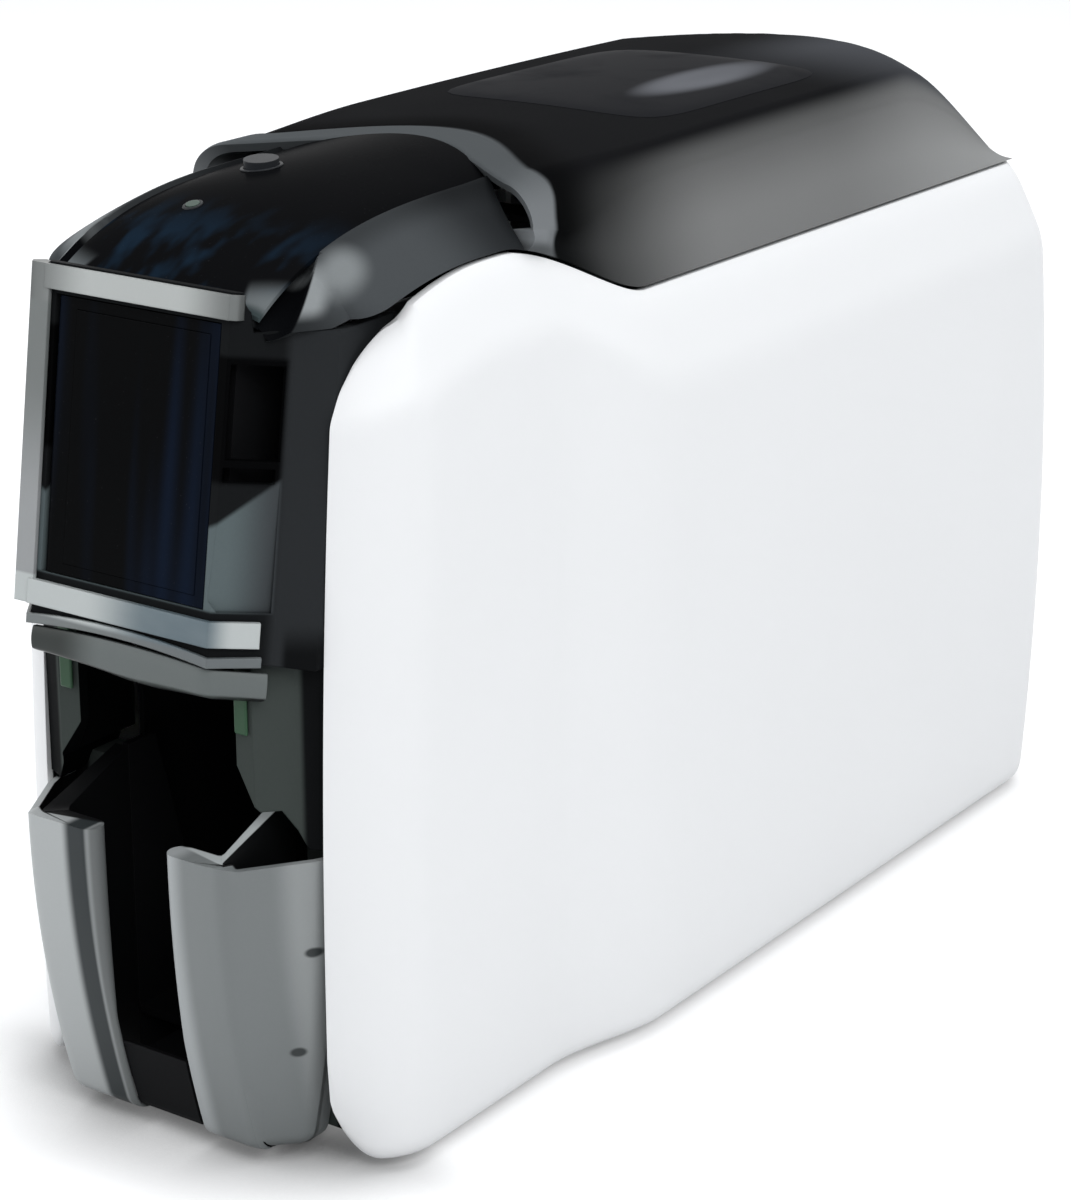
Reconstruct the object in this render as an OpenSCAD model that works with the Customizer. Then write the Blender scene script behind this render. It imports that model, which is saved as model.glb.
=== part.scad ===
// Desktop ID card printer: card hopper behind a hinged door at the front, ribbon and print head
// under a hinged lid, finished cards drop into a removable front hopper.
// Millimetres, +Z up, origin on the desk under the middle of the body. The front faces -Y.

/* [Body] */
// Width over the two side panels
overall_w = 158; // [150:1:190]
// Depth from the front of the output hopper to the back
overall_d = 412; // [400:2:460]
// Height of the lid's crown above the desk
overall_h = 271; // [265:1:285]
// Wall of the moulded covers
cover_wall = 2.5; // [2:0.1:3]
// Gap between neighbouring covers
cover_gap = 1; // [0.6:0.1:1.5]
// How much narrower each side panel is at its front
panel_step = 9; // [4:1:12]
// Inward lean of the band along the top of a side panel
band_lean = 10; // [6:1:13]
// Height of the side panels behind the hump
panel_h = 230.5; // [226:0.5:234]
// Extra height of the hump beside the control console
hump_h = 19.5; // [12:0.5:22]

/* [Cards] */
// Card width, across the printer
card_w = 54; // [50:0.1:56]
// Height of a full stack in the input hopper
stack_h = 76; // [40:1:76]
// Side clearance of a card in its well
card_play = 0.8; // [0.5:0.1:1.2]
// Height of the card path above the desk
card_path_z = 166; // [160:1:168]

/* [Front] */
// Backward lean of the input door, in degrees
door_lean = 8.6; // [4:0.2:10]
// Width of the input door
door_w = 57; // [52:0.5:58]
// Height of the input door along its face
door_h = 75; // [60:0.5:76]
// Thickness of the input door
door_t = 5; // [4:0.5:6]
// Width of the slot between the jaws of the output hopper
jaw_slot_w = 24; // [16:1:30]
// Height of the jaws above the desk
jaw_h = 97; // [80:1:104]
// Finger travel of the power button
button_travel = 1.2; // [0.8:0.1:2]

/* [Drive] */
// Gear module
gear_module = 1; // [0.8:0.1:1]
// Face width of the gears
gear_w = 5; // [3:0.5:6]
// Radius of the transport and platen rollers
roller_r = 7; // [6:0.5:8]
// Radius of the roller shafts
shaft_r = 3; // [2.5:0.25:4]
// Radial running clearance of shafts and pins
running_gap = 0.06; // [0.03:0.01:0.09]
// Thickness of the steel side plates
plate_t = 1.5; // [1:0.1:2]

/* [Ribbon] */
// Radius of the full supply roll
supply_r = 17; // [12:0.5:19]
// Radius of the take-up roll
takeup_r = 10.5; // [9:0.5:14]
// Distance between the two spools
spool_pitch = 100; // [96:1:110]

/* [Hidden] */

fit = 0.3;                       // gap between parts that only rest on each other
eps = 0.01;
half_w = overall_w / 2;
front_y = -overall_d / 2;
rear_y = overall_d / 2;

// Side panel: plan path, from its front edge back to its rear edge
front_half_w = half_w - panel_step;
panel_front_y = front_y + 28;    // where the white panel starts behind the fascia
corner_x = 18;                   // plan radii of the front corner
corner_y = 20;
rear_corner_x = 18;              // plan radii of the rear corner
rear_corner_y = 20;
step_start_y = front_y + 106;     // the step from the narrow to the wide part
step_end_y = front_y + 153;
panel_foot_z = 4;
corner_front_r = 12;             // rounding of the panel's corners seen from the side
corner_rear_r = 14;

// Lid
hinge_y = rear_y - 18;
hinge_z = panel_h - 1.5;
hinge_pin_r = 2.5;
lid_front_y = front_y + 108;
lid_arch = 30;                   // how far the lid's front edge bows back over the console
shoulder_x = half_w - 18;
shoulder_r = 9;

// Side plates stand either side of the card path
plate_x = card_w / 2 + 10.25;    // inner face of a plate
plate_out = plate_x + plate_t;
roller_z = card_path_z - roller_r;
gear_x = plate_out + 0.8;
drive_teeth = 24;
big_idler_teeth = 42;
small_idler_teeth = 18;
pinion_teeth = 14;
function pitch_r(teeth) = teeth * gear_module / 2;
small_step = 2 * (pitch_r(drive_teeth) + pitch_r(small_idler_teeth));
big_step = 2 * (pitch_r(drive_teeth) + pitch_r(big_idler_teeth));
feed_y = front_y + 166;
infeed_y = feed_y - small_step;
pick_y = infeed_y - small_step;
platen_y = feed_y + big_step;
outfeed_y = platen_y + big_step;
motor_y = feed_y + big_step / 2;
motor_z = roller_z - pitch_r(big_idler_teeth) - pitch_r(pinion_teeth);

// Front tower: its face leans back, and everything on it is drawn in the leaned frame
tower_foot_y = front_y + 2.8;
tower_foot_z = 164;
well_w = card_w + 2 * card_play;
tray_top = card_path_z + stack_h - 1;
door_foot = 5;                   // lower edge of the door above the tower's foot
door_hinge_x = -(door_w / 2 - door_t / 2);
door_pin_r = 1.2;

// ---------------------------------------------------------------- helpers
function mix(a, b, t) = a + (b - a) * t;
function clamp01(t) = min(1, max(0, t));
function ease(t) = let (c = clamp01(t)) c * c * (3 - 2 * c);
function round_off(r, d) = d >= r ? 0 : r - sqrt(max(0, r * r - (r - d) * (r - d)));

// Closed shell between two grids of points: rows run one way, columns the other.
module grid_shell(outer, inner, flip = false) {
    rows = len(outer);
    cols = len(outer[0]);
    count = rows * cols;
    points = concat([for (row = outer) for (p = row) p], [for (row = inner) for (p = row) p]);
    function at(i, j) = i * cols + j;
    skins = [for (i = [0:rows - 2]) for (j = [0:cols - 2])
        each [[at(i, j), at(i + 1, j + 1), at(i + 1, j)], [at(i, j), at(i, j + 1), at(i + 1, j + 1)],
              [count + at(i, j), count + at(i + 1, j), count + at(i + 1, j + 1)],
              [count + at(i, j), count + at(i + 1, j + 1), count + at(i, j + 1)]]];
    ends = [for (j = [0:cols - 2])
        each [[at(0, j), count + at(0, j), at(0, j + 1)],
              [at(0, j + 1), count + at(0, j), count + at(0, j + 1)],
              [at(rows - 1, j), at(rows - 1, j + 1), count + at(rows - 1, j)],
              [at(rows - 1, j + 1), count + at(rows - 1, j + 1), count + at(rows - 1, j)]]];
    sides = [for (i = [0:rows - 2])
        each [[at(i, 0), at(i + 1, 0), count + at(i, 0)],
              [at(i + 1, 0), count + at(i + 1, 0), count + at(i, 0)],
              [at(i, cols - 1), count + at(i, cols - 1), at(i + 1, cols - 1)],
              [at(i + 1, cols - 1), count + at(i, cols - 1), count + at(i + 1, cols - 1)]]];
    faces = concat(skins, ends, sides);
    polyhedron(points, flip ? [for (f = faces) [f[0], f[2], f[1]]] : faces, convexity = 8);
}

// Solid through a stack of level plans, each anticlockwise and with as many points
module loft(loops) {
    rows = len(loops);
    n = len(loops[0]);
    sides = [for (i = [0:rows - 2]) for (k = [0:n - 1]) let (m = (k + 1) % n)
        each [[i * n + k, (i + 1) * n + k, (i + 1) * n + m], [i * n + k, (i + 1) * n + m, i * n + m]]];
    polyhedron([for (l = loops) each l],
               concat([[for (k = [0:n - 1]) k]], sides, [[for (k = [n - 1:-1:0]) (rows - 1) * n + k]]), convexity = 8);
}

// Solid of a side view: points are [y, z], the width runs along X
module side_view(points, x0, x1) {
    translate([x0, 0, 0]) rotate([90, 0, 90]) linear_extrude(height = x1 - x0) polygon(points);
}

// Cylinder along X between two planes
module bar_x(r, x0, x1, y, z) {
    translate([x0, y, z]) rotate([0, 90, 0]) cylinder(r = r, h = x1 - x0, $fn = 48);
}

module box(low, high) {
    translate(low) cube(high - low);
}

// Both hands of something drawn for the right side
module both() {
    children();
    mirror([1, 0, 0]) children();
}

// Places the leaned frame of the front tower: x across, y into the face, z up along the face
module on_tower() {
    translate([0, tower_foot_y, tower_foot_z]) rotate([-door_lean, 0, 0]) children();
}

// ---------------------------------------------------------------- side panels
function hump(y) = 1 - ease((y - front_y - 96) / 58);
function front_droop(y) = 8 * pow(max(0, (front_y + 86 - y) / 46.6), 2);
function panel_top(y) = panel_h + hump_h * hump(y) - front_droop(y);
function panel_crease(y) = panel_h - 26.5 + (hump_h + 5.5) * (1 - ease((y - front_y - 103) / 58)) - front_droop(y);

panel_path = concat(
    [for (k = [0:8]) [front_half_w - corner_x * (1 - sin(k * 90 / 8)),
                      panel_front_y + corner_y * (1 - cos(k * 90 / 8))]],
    [for (k = [1:5]) [front_half_w, mix(panel_front_y + corner_y, step_start_y, k / 5)]],
    [for (k = [1:8]) [mix(front_half_w, half_w, ease(k / 8)), mix(step_start_y, step_end_y, k / 8)]],
    [for (k = [1:6]) [half_w, mix(step_end_y, rear_y - rear_corner_y, k / 6)]],
    [for (k = [1:8]) [half_w - rear_corner_x * (1 - cos(k * 90 / 8)),
                      rear_y - rear_corner_y * (1 - sin(k * 90 / 8))]]);
path_n = len(panel_path);
path_run = [for (i = 0, s = 0; i < path_n;
    s = s + (i < path_n - 1 ? norm(panel_path[i + 1] - panel_path[i]) : 0), i = i + 1) s];

function path_tangent(i) = i == 0 ? [1, 0] : i == path_n - 1 ? [-1, 0]
    : let (d = panel_path[i + 1] - panel_path[i - 1]) d / norm(d);
function front_run(i) = path_run[i];
function rear_run(i) = path_run[path_n - 1] - path_run[i];
function front_bow(z) = 5 * pow(max(0, z - 60) / 130, 2);
function rear_bow(z) = -12 * pow((z - 92) / 118, 2);
function panel_bow(y, z) = front_bow(z) * ease((step_start_y - y) / 78) + rear_bow(z) * ease((y - rear_y + 106) / 106);

// Heights and insets of one upright line of the panel, from its foot to its top edge
lower_levels = [[0, 2.5], [0.02, 0.4], [0.12, 0], [0.35, 0], [0.6, 0], [0.82, 0], [1, 0]];
band_levels = [[0.3, 0.26], [0.65, 0.6], [0.9, 0.88], [1, 1.08]];
function panel_line(i, extra) = let (
        y = panel_path[i][1],
        t = path_tangent(i),
        top = panel_top(y) - round_off(corner_front_r, front_run(i)) - round_off(corner_rear_r, rear_run(i)),
        foot = panel_foot_z + round_off(corner_front_r, front_run(i)) + round_off(corner_rear_r, rear_run(i)),
        crease = min(panel_crease(y), top - 5),
        marks = concat([for (l = lower_levels) [mix(foot, crease, l[0]), l[1]]],
                       [for (l = band_levels) [mix(crease, top, l[0]), l[1] * band_lean * (top - crease) / (panel_top(y) - panel_crease(y))]]))
    [for (m = marks) let (inset = m[1] + extra, p = panel_path[i] - inset * [t[1], -t[0]])
        [p[0], p[1] + panel_bow(y, m[0]), m[0]]];

module side_panel() {
    grid_shell([for (i = [0:path_n - 1]) panel_line(i, 0)],
               [for (i = [0:path_n - 1]) panel_line(i, cover_wall)]);
}

module right_panel() {
    color("whitesmoke") side_panel();
}

module left_panel() {
    color("whitesmoke") mirror([1, 0, 0]) side_panel();
}

// ---------------------------------------------------------------- console
deck_front_y = front_y + 20;
deck_edge = 38;
function deck_z(y) = let (d = clamp01((front_y + 156 - y) / 136)) overall_h - 5 * d - 20 * pow(d, 5);
function plan_half(y) = y < panel_front_y + corner_y
    ? front_half_w - corner_x + corner_x * sqrt(max(0, 1 - pow((panel_front_y + corner_y - y) / corner_y, 2)))
    : mix(front_half_w, half_w, ease((y - step_start_y) / (step_end_y - step_start_y)));
function arch_y(x) = lid_front_y + lid_arch * pow(max(0, 1 - pow(x / (shoulder_x - 1), 2)), 1.7);

console_turn_y = panel_front_y + corner_y;
function console_foot_x(y) = let (base = front_half_w - band_lean * 1.08 - fit - 0.2)
    y > console_turn_y ? base
    : y > console_turn_y - 9 ? base - 7 * (1 - sqrt(max(0, 1 - pow((console_turn_y - y) / 9, 2))))
    : mix(base - 7, 40, pow((console_turn_y - 9 - y) / (console_turn_y - 9 - deck_front_y), 1.3));
function console_foot_z(y) = max(241, panel_top(y) + cover_gap);

console_rows = [0, 0.04, 0.09, 0.14, 0.2, 0.28, 0.38, 0.5, 0.62, 0.74, 0.87, 1];
console_cols = [0, 0.2, 0.4, 0.6, 0.8, 1];
// Half section: the shoulder from foot to deck edge, then the recess that takes the deck
console_half = concat(
    [for (s = console_cols) [mix(1, deck_edge / 58, s), s]],
    [[(deck_edge - 1.2) / 58, 1], [(deck_edge - 1.5) / 58, 2], [0.4, 2], [0.2, 2], [0, 2]]);
function console_point(a, s, v, inset) = let (
        x_guess = a * 58,
        y = mix(deck_front_y, arch_y(x_guess) - cover_gap, v) + (v == 0 ? inset : 0),
        foot_x = console_foot_x(y) - inset,
        edge_x = min(deck_edge, foot_x - 1),
        x = s < 1 ? mix(foot_x, edge_x, s) : min(x_guess, edge_x),
        top = deck_z(y) - inset,
        foot = console_foot_z(y),
        z = s < 1 ? mix(foot, top, pow(s, 0.85)) : s == 1 ? top : top - 1.8)
    [x, y, z];
function console_grid(inset) = [for (v = console_rows)
    concat([for (h = console_half) console_point(h[0], h[1], v, inset)],
           [for (k = [len(console_half) - 2:-1:0])
               let (p = console_point(console_half[k][0], console_half[k][1], v, inset)) [-p[0], p[1], p[2]]])];

module console_cover() {
    color("#3a3c40") difference() {
        grid_shell(console_grid(0), console_grid(cover_wall));
        on_deck(button_x, button_y) translate([0, 0, -12]) cylinder(r = button_r + fit, h = 24, $fn = 40);
        // finger notches over the corners of the tower
        both() translate([deck_edge + 5.5, deck_front_y - 6, deck_z(deck_front_y) - 4]) rotate([-62, 0, 24])
            cylinder(r = notch_r, h = 34, $fn = 48);
    }
}

notch_r = 6.5;                   // finger notch in the front corner of the console
deck_half = deck_edge - 2;
// Places something on the sloping deck: z is its local normal
function deck_slope(y) = atan((deck_z(y + 1) - deck_z(y - 1)) / 2);
module on_deck(x, y) {
    translate([x, y, deck_z(y)]) rotate([deck_slope(y), 0, 0]) children();
}

function deck_grid(drop) = [for (v = console_rows) [for (u = [1:-0.25:-1]) let (
        x = u * deck_half,
        y = mix(deck_front_y + 1, arch_y(x) - cover_gap - 1, v))
    [x, y, deck_z(y) - drop]]];

module console_deck() {
    color("#101216") difference() {
        grid_shell(deck_grid(0), deck_grid(1.3));
        on_deck(button_x, button_y) translate([0, 0, -6]) cylinder(r = button_r + fit, h = 12, $fn = 40);
        on_deck(light_x, light_y) translate([0, 0, -6]) cylinder(r = light_r + 0.1, h = 12, $fn = 32);
    }
}

button_x = -17;
button_y = front_y + 87;
button_r = 5;
light_x = -14;
light_y = front_y + 54;
light_r = 2;

module power_button() {
    color("#2b2d31") on_deck(button_x, button_y) translate([0, 0, -2]) cylinder(r = button_r, h = 2 + button_travel + 0.4, $fn = 40);
}

module status_light() {
    color("#9fd0a0") on_deck(light_x, light_y) translate([0, 0, -1.2]) cylinder(r = light_r, h = 1.4, $fn = 32);
}

// ---------------------------------------------------------------- front fascia
tower_top = 83;                  // along the leaned face
mouth_half = card_w / 2 + 8;
mouth_z = tower_foot_z - 13;     // top of the open mouth, at its sides
mouth_rise = 5;                  // how far the arch over the mouth rises in the middle
flank_x = door_w / 2 + 3;        // where the flat front turns into the flank
flank_turn = [flank_x + 11, 13.5]; // where the flank turns into the strip beside the side panel
fascia_half = front_half_w - corner_x - fit;
strip_y = 20;                    // the strip's far edge, behind the plane of the door
fascia_t = 3;
head_z = tray_top - 0.3;         // underside of the solid head of the tower

// Outline of the tower across its leaned face, offset inwards by a wall (outwards if negative)
flank_dir = (flank_turn - [flank_x, 0]) / norm(flank_turn - [flank_x, 0]);
flank_out = [flank_dir[1], -flank_dir[0]];
flank_turn_angle = atan2(flank_dir[1], flank_dir[0]);
function tower_side(t) = [[flank_x - t * tan(flank_turn_angle / 2), t],
    flank_turn - t * flank_out + [0.1, 0.1] * t,
    [fascia_half - t, strip_y + t * 0.5],
    [fascia_half - t, 43 + t]];
function tower_plan(t) = concat([for (k = [3:-1:0]) let (p = tower_side(t)[k]) [-p[0], p[1]]], tower_side(t));
module tower_prism(w0, w1, t) {
    on_tower() translate([0, 0, w0]) linear_extrude(height = w1 - w0) polygon(tower_plan(t));
}

// Front view of the arch over the mouth: everything below it, down to the desk
function arch_z(x) = mouth_z + mouth_rise * (1 - pow(x / fascia_half, 2));
module under_arch(y0, y1, lift) {
    translate([0, y1, 0]) rotate([90, 0, 0]) linear_extrude(height = y1 - y0)
        polygon(concat([[-fascia_half - 5, 0]], [for (k = [-8:8]) let (x = (fascia_half + 5) * k / 8) [x, arch_z(x) + lift]],
                       [[fascia_half + 5, 0]]));
}

// Right cheek beside the mouth: plan of its facets, and its front view
cheek_x = card_w / 2 + card_play + 0.5;
cheek_plan = [[cheek_x, front_y + 15.5], [flank_x + 3.5, front_y + 14.5], [flank_x + 11.5, front_y + 23],
              [fascia_half, panel_front_y - 1], [fascia_half, front_y + 46], [mouth_half + 1, front_y + 46],
              [mouth_half + 1, front_y + 22], [cheek_x, front_y + 19]];
cheek_front = [[cheek_x, mouth_z + 6], [fascia_half, mouth_z + 6], [fascia_half, jaw_h + 0.5], [flank_x + 14, jaw_h + 0.5],
               [flank_x + 8.5, jaw_h + 12], [mouth_half + 1, jaw_h + 12], [cheek_x, jaw_h + 24]];

module front_fascia() {
    color("#33363a") {
        difference() {
            tower_prism(-22, tower_top + 5.5, 0);
            // hollow behind the face, but for the lugs that hold the pins of the door
            difference() {
                intersection() {
                    tower_prism(-26, tower_top + 3, fascia_t);
                    box([-70, front_y - 5, mouth_z - 20], [70, front_y + 70, head_z]);
                }
                on_tower() for (w = [door_foot - fit - 4, door_foot + door_h + fit]) {
                    box([door_hinge_x - 4, 0, w], [door_hinge_x + 4, door_t + 1.5, w + 4]);
                }
            }
            under_arch(front_y - 10, front_y + 60, 0);
            // bores for the pins of the door
            on_tower() translate([door_hinge_x, door_t / 2, door_foot - 3.3])
                cylinder(r = door_pin_r + running_gap, h = door_h + 6.6, $fn = 32);
            // the console stands on the tower behind its head
            box([-60, deck_front_y - 0.6, head_z], [60, front_y + 90, 262]);
            // door opening
            on_tower() box([-door_w / 2 - fit, -1, door_foot - fit], [door_w / 2 + fit, 30, door_foot + door_h + fit]);
            // finger recess in the flank beside the door, and the shadow groove under it
            flank_cut(1, 15.5, 45, 70, 7);
            flank_cut(0.5, 14.5, 39, 43, 3);
            // sloping facet below them: it deepens away from its slanting upper edge
            on_tower() translate([flank_x, 0, 0]) rotate([0, 0, flank_turn_angle]) intersection() {
                box([-6, -6, 4.6], [16, 4, 45]);
                translate([-4, 0, 25]) rotate([0, -37, 0]) rotate([4, 0, 0]) box([-8, -8, -70], [40, 0, 0]);
            }
            // notches in the upper corners, where the console's rim arches over
            both() on_tower() translate([flank_x + 7, 3, tower_top + 5]) rotate([90, 0, 24]) cylinder(r = 5.2, h = 12, center = true, $fn = 40);
        }
        // cheeks beside the mouth
        for (m = [0, 1]) mirror([m, 0, 0]) intersection() {
            translate([0, 0, jaw_h]) linear_extrude(height = 70) polygon(cheek_plan);
            translate([0, front_y + 60, 0]) rotate([90, 0, 0]) linear_extrude(height = 60) polygon(cheek_front);
            under_arch(front_y, front_y + 60, 0.5);
        }
        // frame behind the output hopper
        difference() {
            translate([0, 0, 8]) linear_extrude(height = jaw_h + 6 - 8)
                polygon([[-fascia_half, front_y + 35], [fascia_half, front_y + 35], [fascia_half, front_y + 46], [-fascia_half, front_y + 46]]);
            box([-mouth_half - 1, front_y, 7], [mouth_half + 1, front_y + 60, 120]);
        }
    }
}

// Pocket sunk into the right flank: s runs along the flank, w up it
module flank_cut(s0, s1, w0, w1, depth) {
    on_tower() translate([flank_x, 0, 0]) rotate([0, 0, flank_turn_angle]) box([s0, -3, w0], [s1, depth, w1]);
}

// Band that stands off the tower by a gap and follows it round both corners
module tower_band(w0, w1, gap, proud, wrap) {
    half = flank_turn_angle / 2;
    side = [[flank_x + proud * tan(half), -proud], [flank_x, 0] + wrap * flank_dir + proud * flank_out,
            [flank_x, 0] + wrap * flank_dir + gap * flank_out, [flank_x + gap * tan(half), -gap]];
    left = [for (k = [3:-1:0]) [-side[k][0], side[k][1]]];
    on_tower() translate([0, 0, w0]) linear_extrude(height = w1 - w0)
        polygon(concat(side, left));
}

// Light rails round the door and over the mouth
trim_proud = 1.9;
module hopper_trim() {
    stile_x = door_w / 2 + 1.6;
    color("#c9cccd") {
        // left stile, wrapped round the corner
        on_tower() translate([0, 0, -4.5]) linear_extrude(height = tower_top + 9.5)
            polygon([[-stile_x, -fit], [-stile_x, -1.5], [-flank_x - 5, -1.7], [-flank_x - 7.5, 1.5], [-flank_x - 6.5, 5.5],
                     [-flank_x - 4.1, 4.6], [-flank_x - 0.4, -fit]]);
        difference() {
            union() {
                tower_band(tower_top - 1.5, tower_top + 5, fit, trim_proud, 6.5);
                tower_band(-4.5, 2.4, fit, trim_proud + 0.3, 13);
            }
            // the top rail ends where the flat front does
            on_tower() box([flank_x + 2.5, -5, tower_top - 3], [80, 40, tower_top + 8]);
            // the stile takes over at the left end of both rails
            on_tower() box([-80, -5, -10], [-flank_x, 40, tower_top + 8]);
        }
        // lip along the arch over the mouth
        difference() {
            intersection() {
                tower_band(-22, 0, fit, trim_proud - 0.6, 14);
                under_arch(front_y - 5, front_y + 60, 2.6);
            }
            under_arch(front_y - 10, front_y + 70, 0);
        }
    }
}

// ---------------------------------------------------------------- input door
module input_door() {
    color("#0c0d10") on_tower() {
        difference() {
            union() {
                box([door_hinge_x, 0, door_foot], [door_w / 2, door_t, door_foot + door_h]);
                translate([door_hinge_x, door_t / 2, door_foot]) cylinder(r = door_t / 2, h = door_h, $fn = 40);
                // hinge pins
                translate([door_hinge_x, door_t / 2, door_foot - 3]) cylinder(r = door_pin_r, h = door_h + 6, $fn = 32);
            }
            box([door_hinge_x + 6, door_t - 3, door_foot + 4], [door_w / 2 - 4, door_t + 1, door_foot + door_h - 4]);
            box([door_hinge_x + 5, -1, door_foot + 3], [door_w / 2 - 3, 1, door_foot + door_h - 3]);
        }
    }
}

module door_window() {
    color("#05060a") on_tower()
        box([door_hinge_x + 5 + 0.1, -0.2, door_foot + 3.1], [door_w / 2 - 3.1, 0.9, door_foot + door_h - 3.1]);
}

// ---------------------------------------------------------------- card tray and weight
tray_front_y = front_y + 10;
tray_rear_y = pick_y + 23.4;
tray_wall = 2;
guide_y = front_y + 49;           // middle of the slot that guides the card weight
module card_tray() {
    wx = well_w / 2;
    color("#4a4d52") difference() {
        box([-wx - tray_wall, tray_front_y, card_path_z - 2.5], [wx + tray_wall, tray_rear_y + tray_wall, tray_top]);
        box([-wx, tray_front_y - 1, card_path_z - 0.2], [wx, tray_rear_y, tray_top + 1]);
        // slot that lets one card leave to the rear
        box([-wx, tray_rear_y - 1, card_path_z - 0.2], [wx, tray_rear_y + 5, card_path_z + 1.1]);
        // window for the pick roller
        box([-22, pick_y - 9, card_path_z - 4], [22, pick_y + 9, card_path_z + 1]);
        // guide slot of the card weight
        box([-wx - tray_wall - 1, guide_y - 5, card_path_z + 1], [-wx + 1, guide_y + 5, tray_top - 1]);
        // the leaned front edge stays behind the door
        on_tower() box([-40, -10, -20], [40, door_t + 1, 100]);
    }
}

module card_weight() {
    wx = well_w / 2 - 0.8;
    color("#5c6066") {
        difference() {
            box([-wx, tray_front_y + 9.6, card_path_z + 0.3], [wx, pick_y + 12, card_path_z + 5]);
            box([-wx + 4, tray_front_y + 13.6, card_path_z + 2.5], [wx - 4, pick_y + 8, card_path_z + 6]);
        }
        box([-wx - 4, guide_y - 4, card_path_z + 1.5], [-wx + 1, guide_y + 4, card_path_z + 4.5]);
    }
}

// ---------------------------------------------------------------- output hopper
hopper_foot = 8.5;
jaw_foot = 4.5;
jaw_deep = 8;                    // depth of a jaw's double front wall
jaw_wall = 2.1;
hopper_rear_y = front_y + 98.2;
jaw_rear_y = front_y + 34;
hopper_half = mouth_half - 0.5;
hopper_well = well_w / 2 + 0.6;
jaw_ridge = 11;                  // how far a jaw's inner wall rises towards the rear
tray_floor_z = 26;               // the cards lie on this floor
lip_z = 30;                      // top of the tray's front lip between the jaws

// How far the front of the hopper curves back at a height
function jaw_back(z) = 14 * pow(clamp01((jaw_h - z) / (jaw_h - jaw_foot)), 2) + round_off(5, z - jaw_foot);
function jaw_out(z) = front_y + jaw_back(z);
function jaw_in(z) = max(front_y + jaw_deep, jaw_out(z) + jaw_wall + 0.2);

// Flank of the right jaw: each entry is a plan point and the way it moves as the front curves back
jaw_corner = [flank_x + 3, front_y + 3.2];
jaw_turn = [fascia_half - 0.8, panel_front_y - 2.5];
jaw_flank = concat(
    [for (t = [0.1, 0.3, 0.6, 0.86]) [mix(jaw_corner, jaw_turn, t), mix([-0.2, 0.95], [-0.7, 0.1], t)]],
    [[jaw_turn - [0.2, -1.2], [-0.7, 0.1]], [jaw_turn + [0, 4], [-0.7, 0]]]);
function flank_points(z, wall) = [for (f = jaw_flank) f[0] + jaw_back(z) * f[1] + wall * [-0.74, 0.67]];
function rear_point(z, wall) = [jaw_turn[0] - 0.7 * jaw_back(z) - wall, jaw_rear_y + wall];

// Plan of the right jaw at a height, anticlockwise from the rear of its inner wall
function jaw_loop(z) = let (a = jaw_out(z), b = jaw_in(z), r = (b - a) / 2, slot = jaw_slot_w / 2)
    [for (q = concat(
        [[hopper_well, jaw_rear_y], [hopper_well, b + 1.5], [hopper_well - 1.5, b], [slot + jaw_deep, b]],
        [for (t = [90:22.5:270]) [slot + r + r * cos(t), (a + b) / 2 + r * sin(t)]],
        [[slot + jaw_deep + 2, a], [flank_x - 3, a], [flank_x + 1, a + 1.2]],
        flank_points(z, 0), [rear_point(z, 0)])) [q[0], q[1], z]];
// Pocket between the inner and outer wall of a jaw, open at its top and rear
function pocket_loop(z) = [for (q = concat(
        [[hopper_well + jaw_wall, jaw_rear_y + jaw_wall], [hopper_well + jaw_wall, jaw_out(z) + jaw_wall + 1]],
        flank_points(z, jaw_wall), [rear_point(z, jaw_wall)])) [q[0], q[1], z]];

module jaw() {
    high = jaw_h + jaw_ridge + 1;
    difference() {
        loft([for (z = [jaw_foot, jaw_foot + 0.5, jaw_foot + 1.6, jaw_foot + 3.2, jaw_foot + 5, 14, 20, 27, 36, 46, 58, 74, jaw_h - 6, high])
              jaw_loop(z)]);
        loft([for (z = [22, 27, 36, 46, 58, 74, jaw_h - 6, high + 1]) pocket_loop(z)]);
        // flat at the front, then the inner wall rises towards the rear
        side_view([[front_y - 1, jaw_h], [front_y + jaw_deep, jaw_h], [jaw_rear_y + 1, jaw_h + jaw_ridge],
                   [jaw_rear_y + 1, high + 2], [front_y - 1, high + 2]], 0, 60);
        // the flank is a little lower than the front
        translate([0, 0, jaw_h - 1.8]) linear_extrude(height = jaw_ridge + 5)
            polygon([[flank_x + 1.5, front_y - 2], [60, front_y - 2], [60, jaw_rear_y + 2],
                     [hopper_well + jaw_wall + 1, jaw_rear_y + 2], [hopper_well + jaw_wall + 1, front_y + jaw_deep]]);
    }
}

module hopper_jaws() {
    color("#a6a9ab") both() jaw();
}

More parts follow.
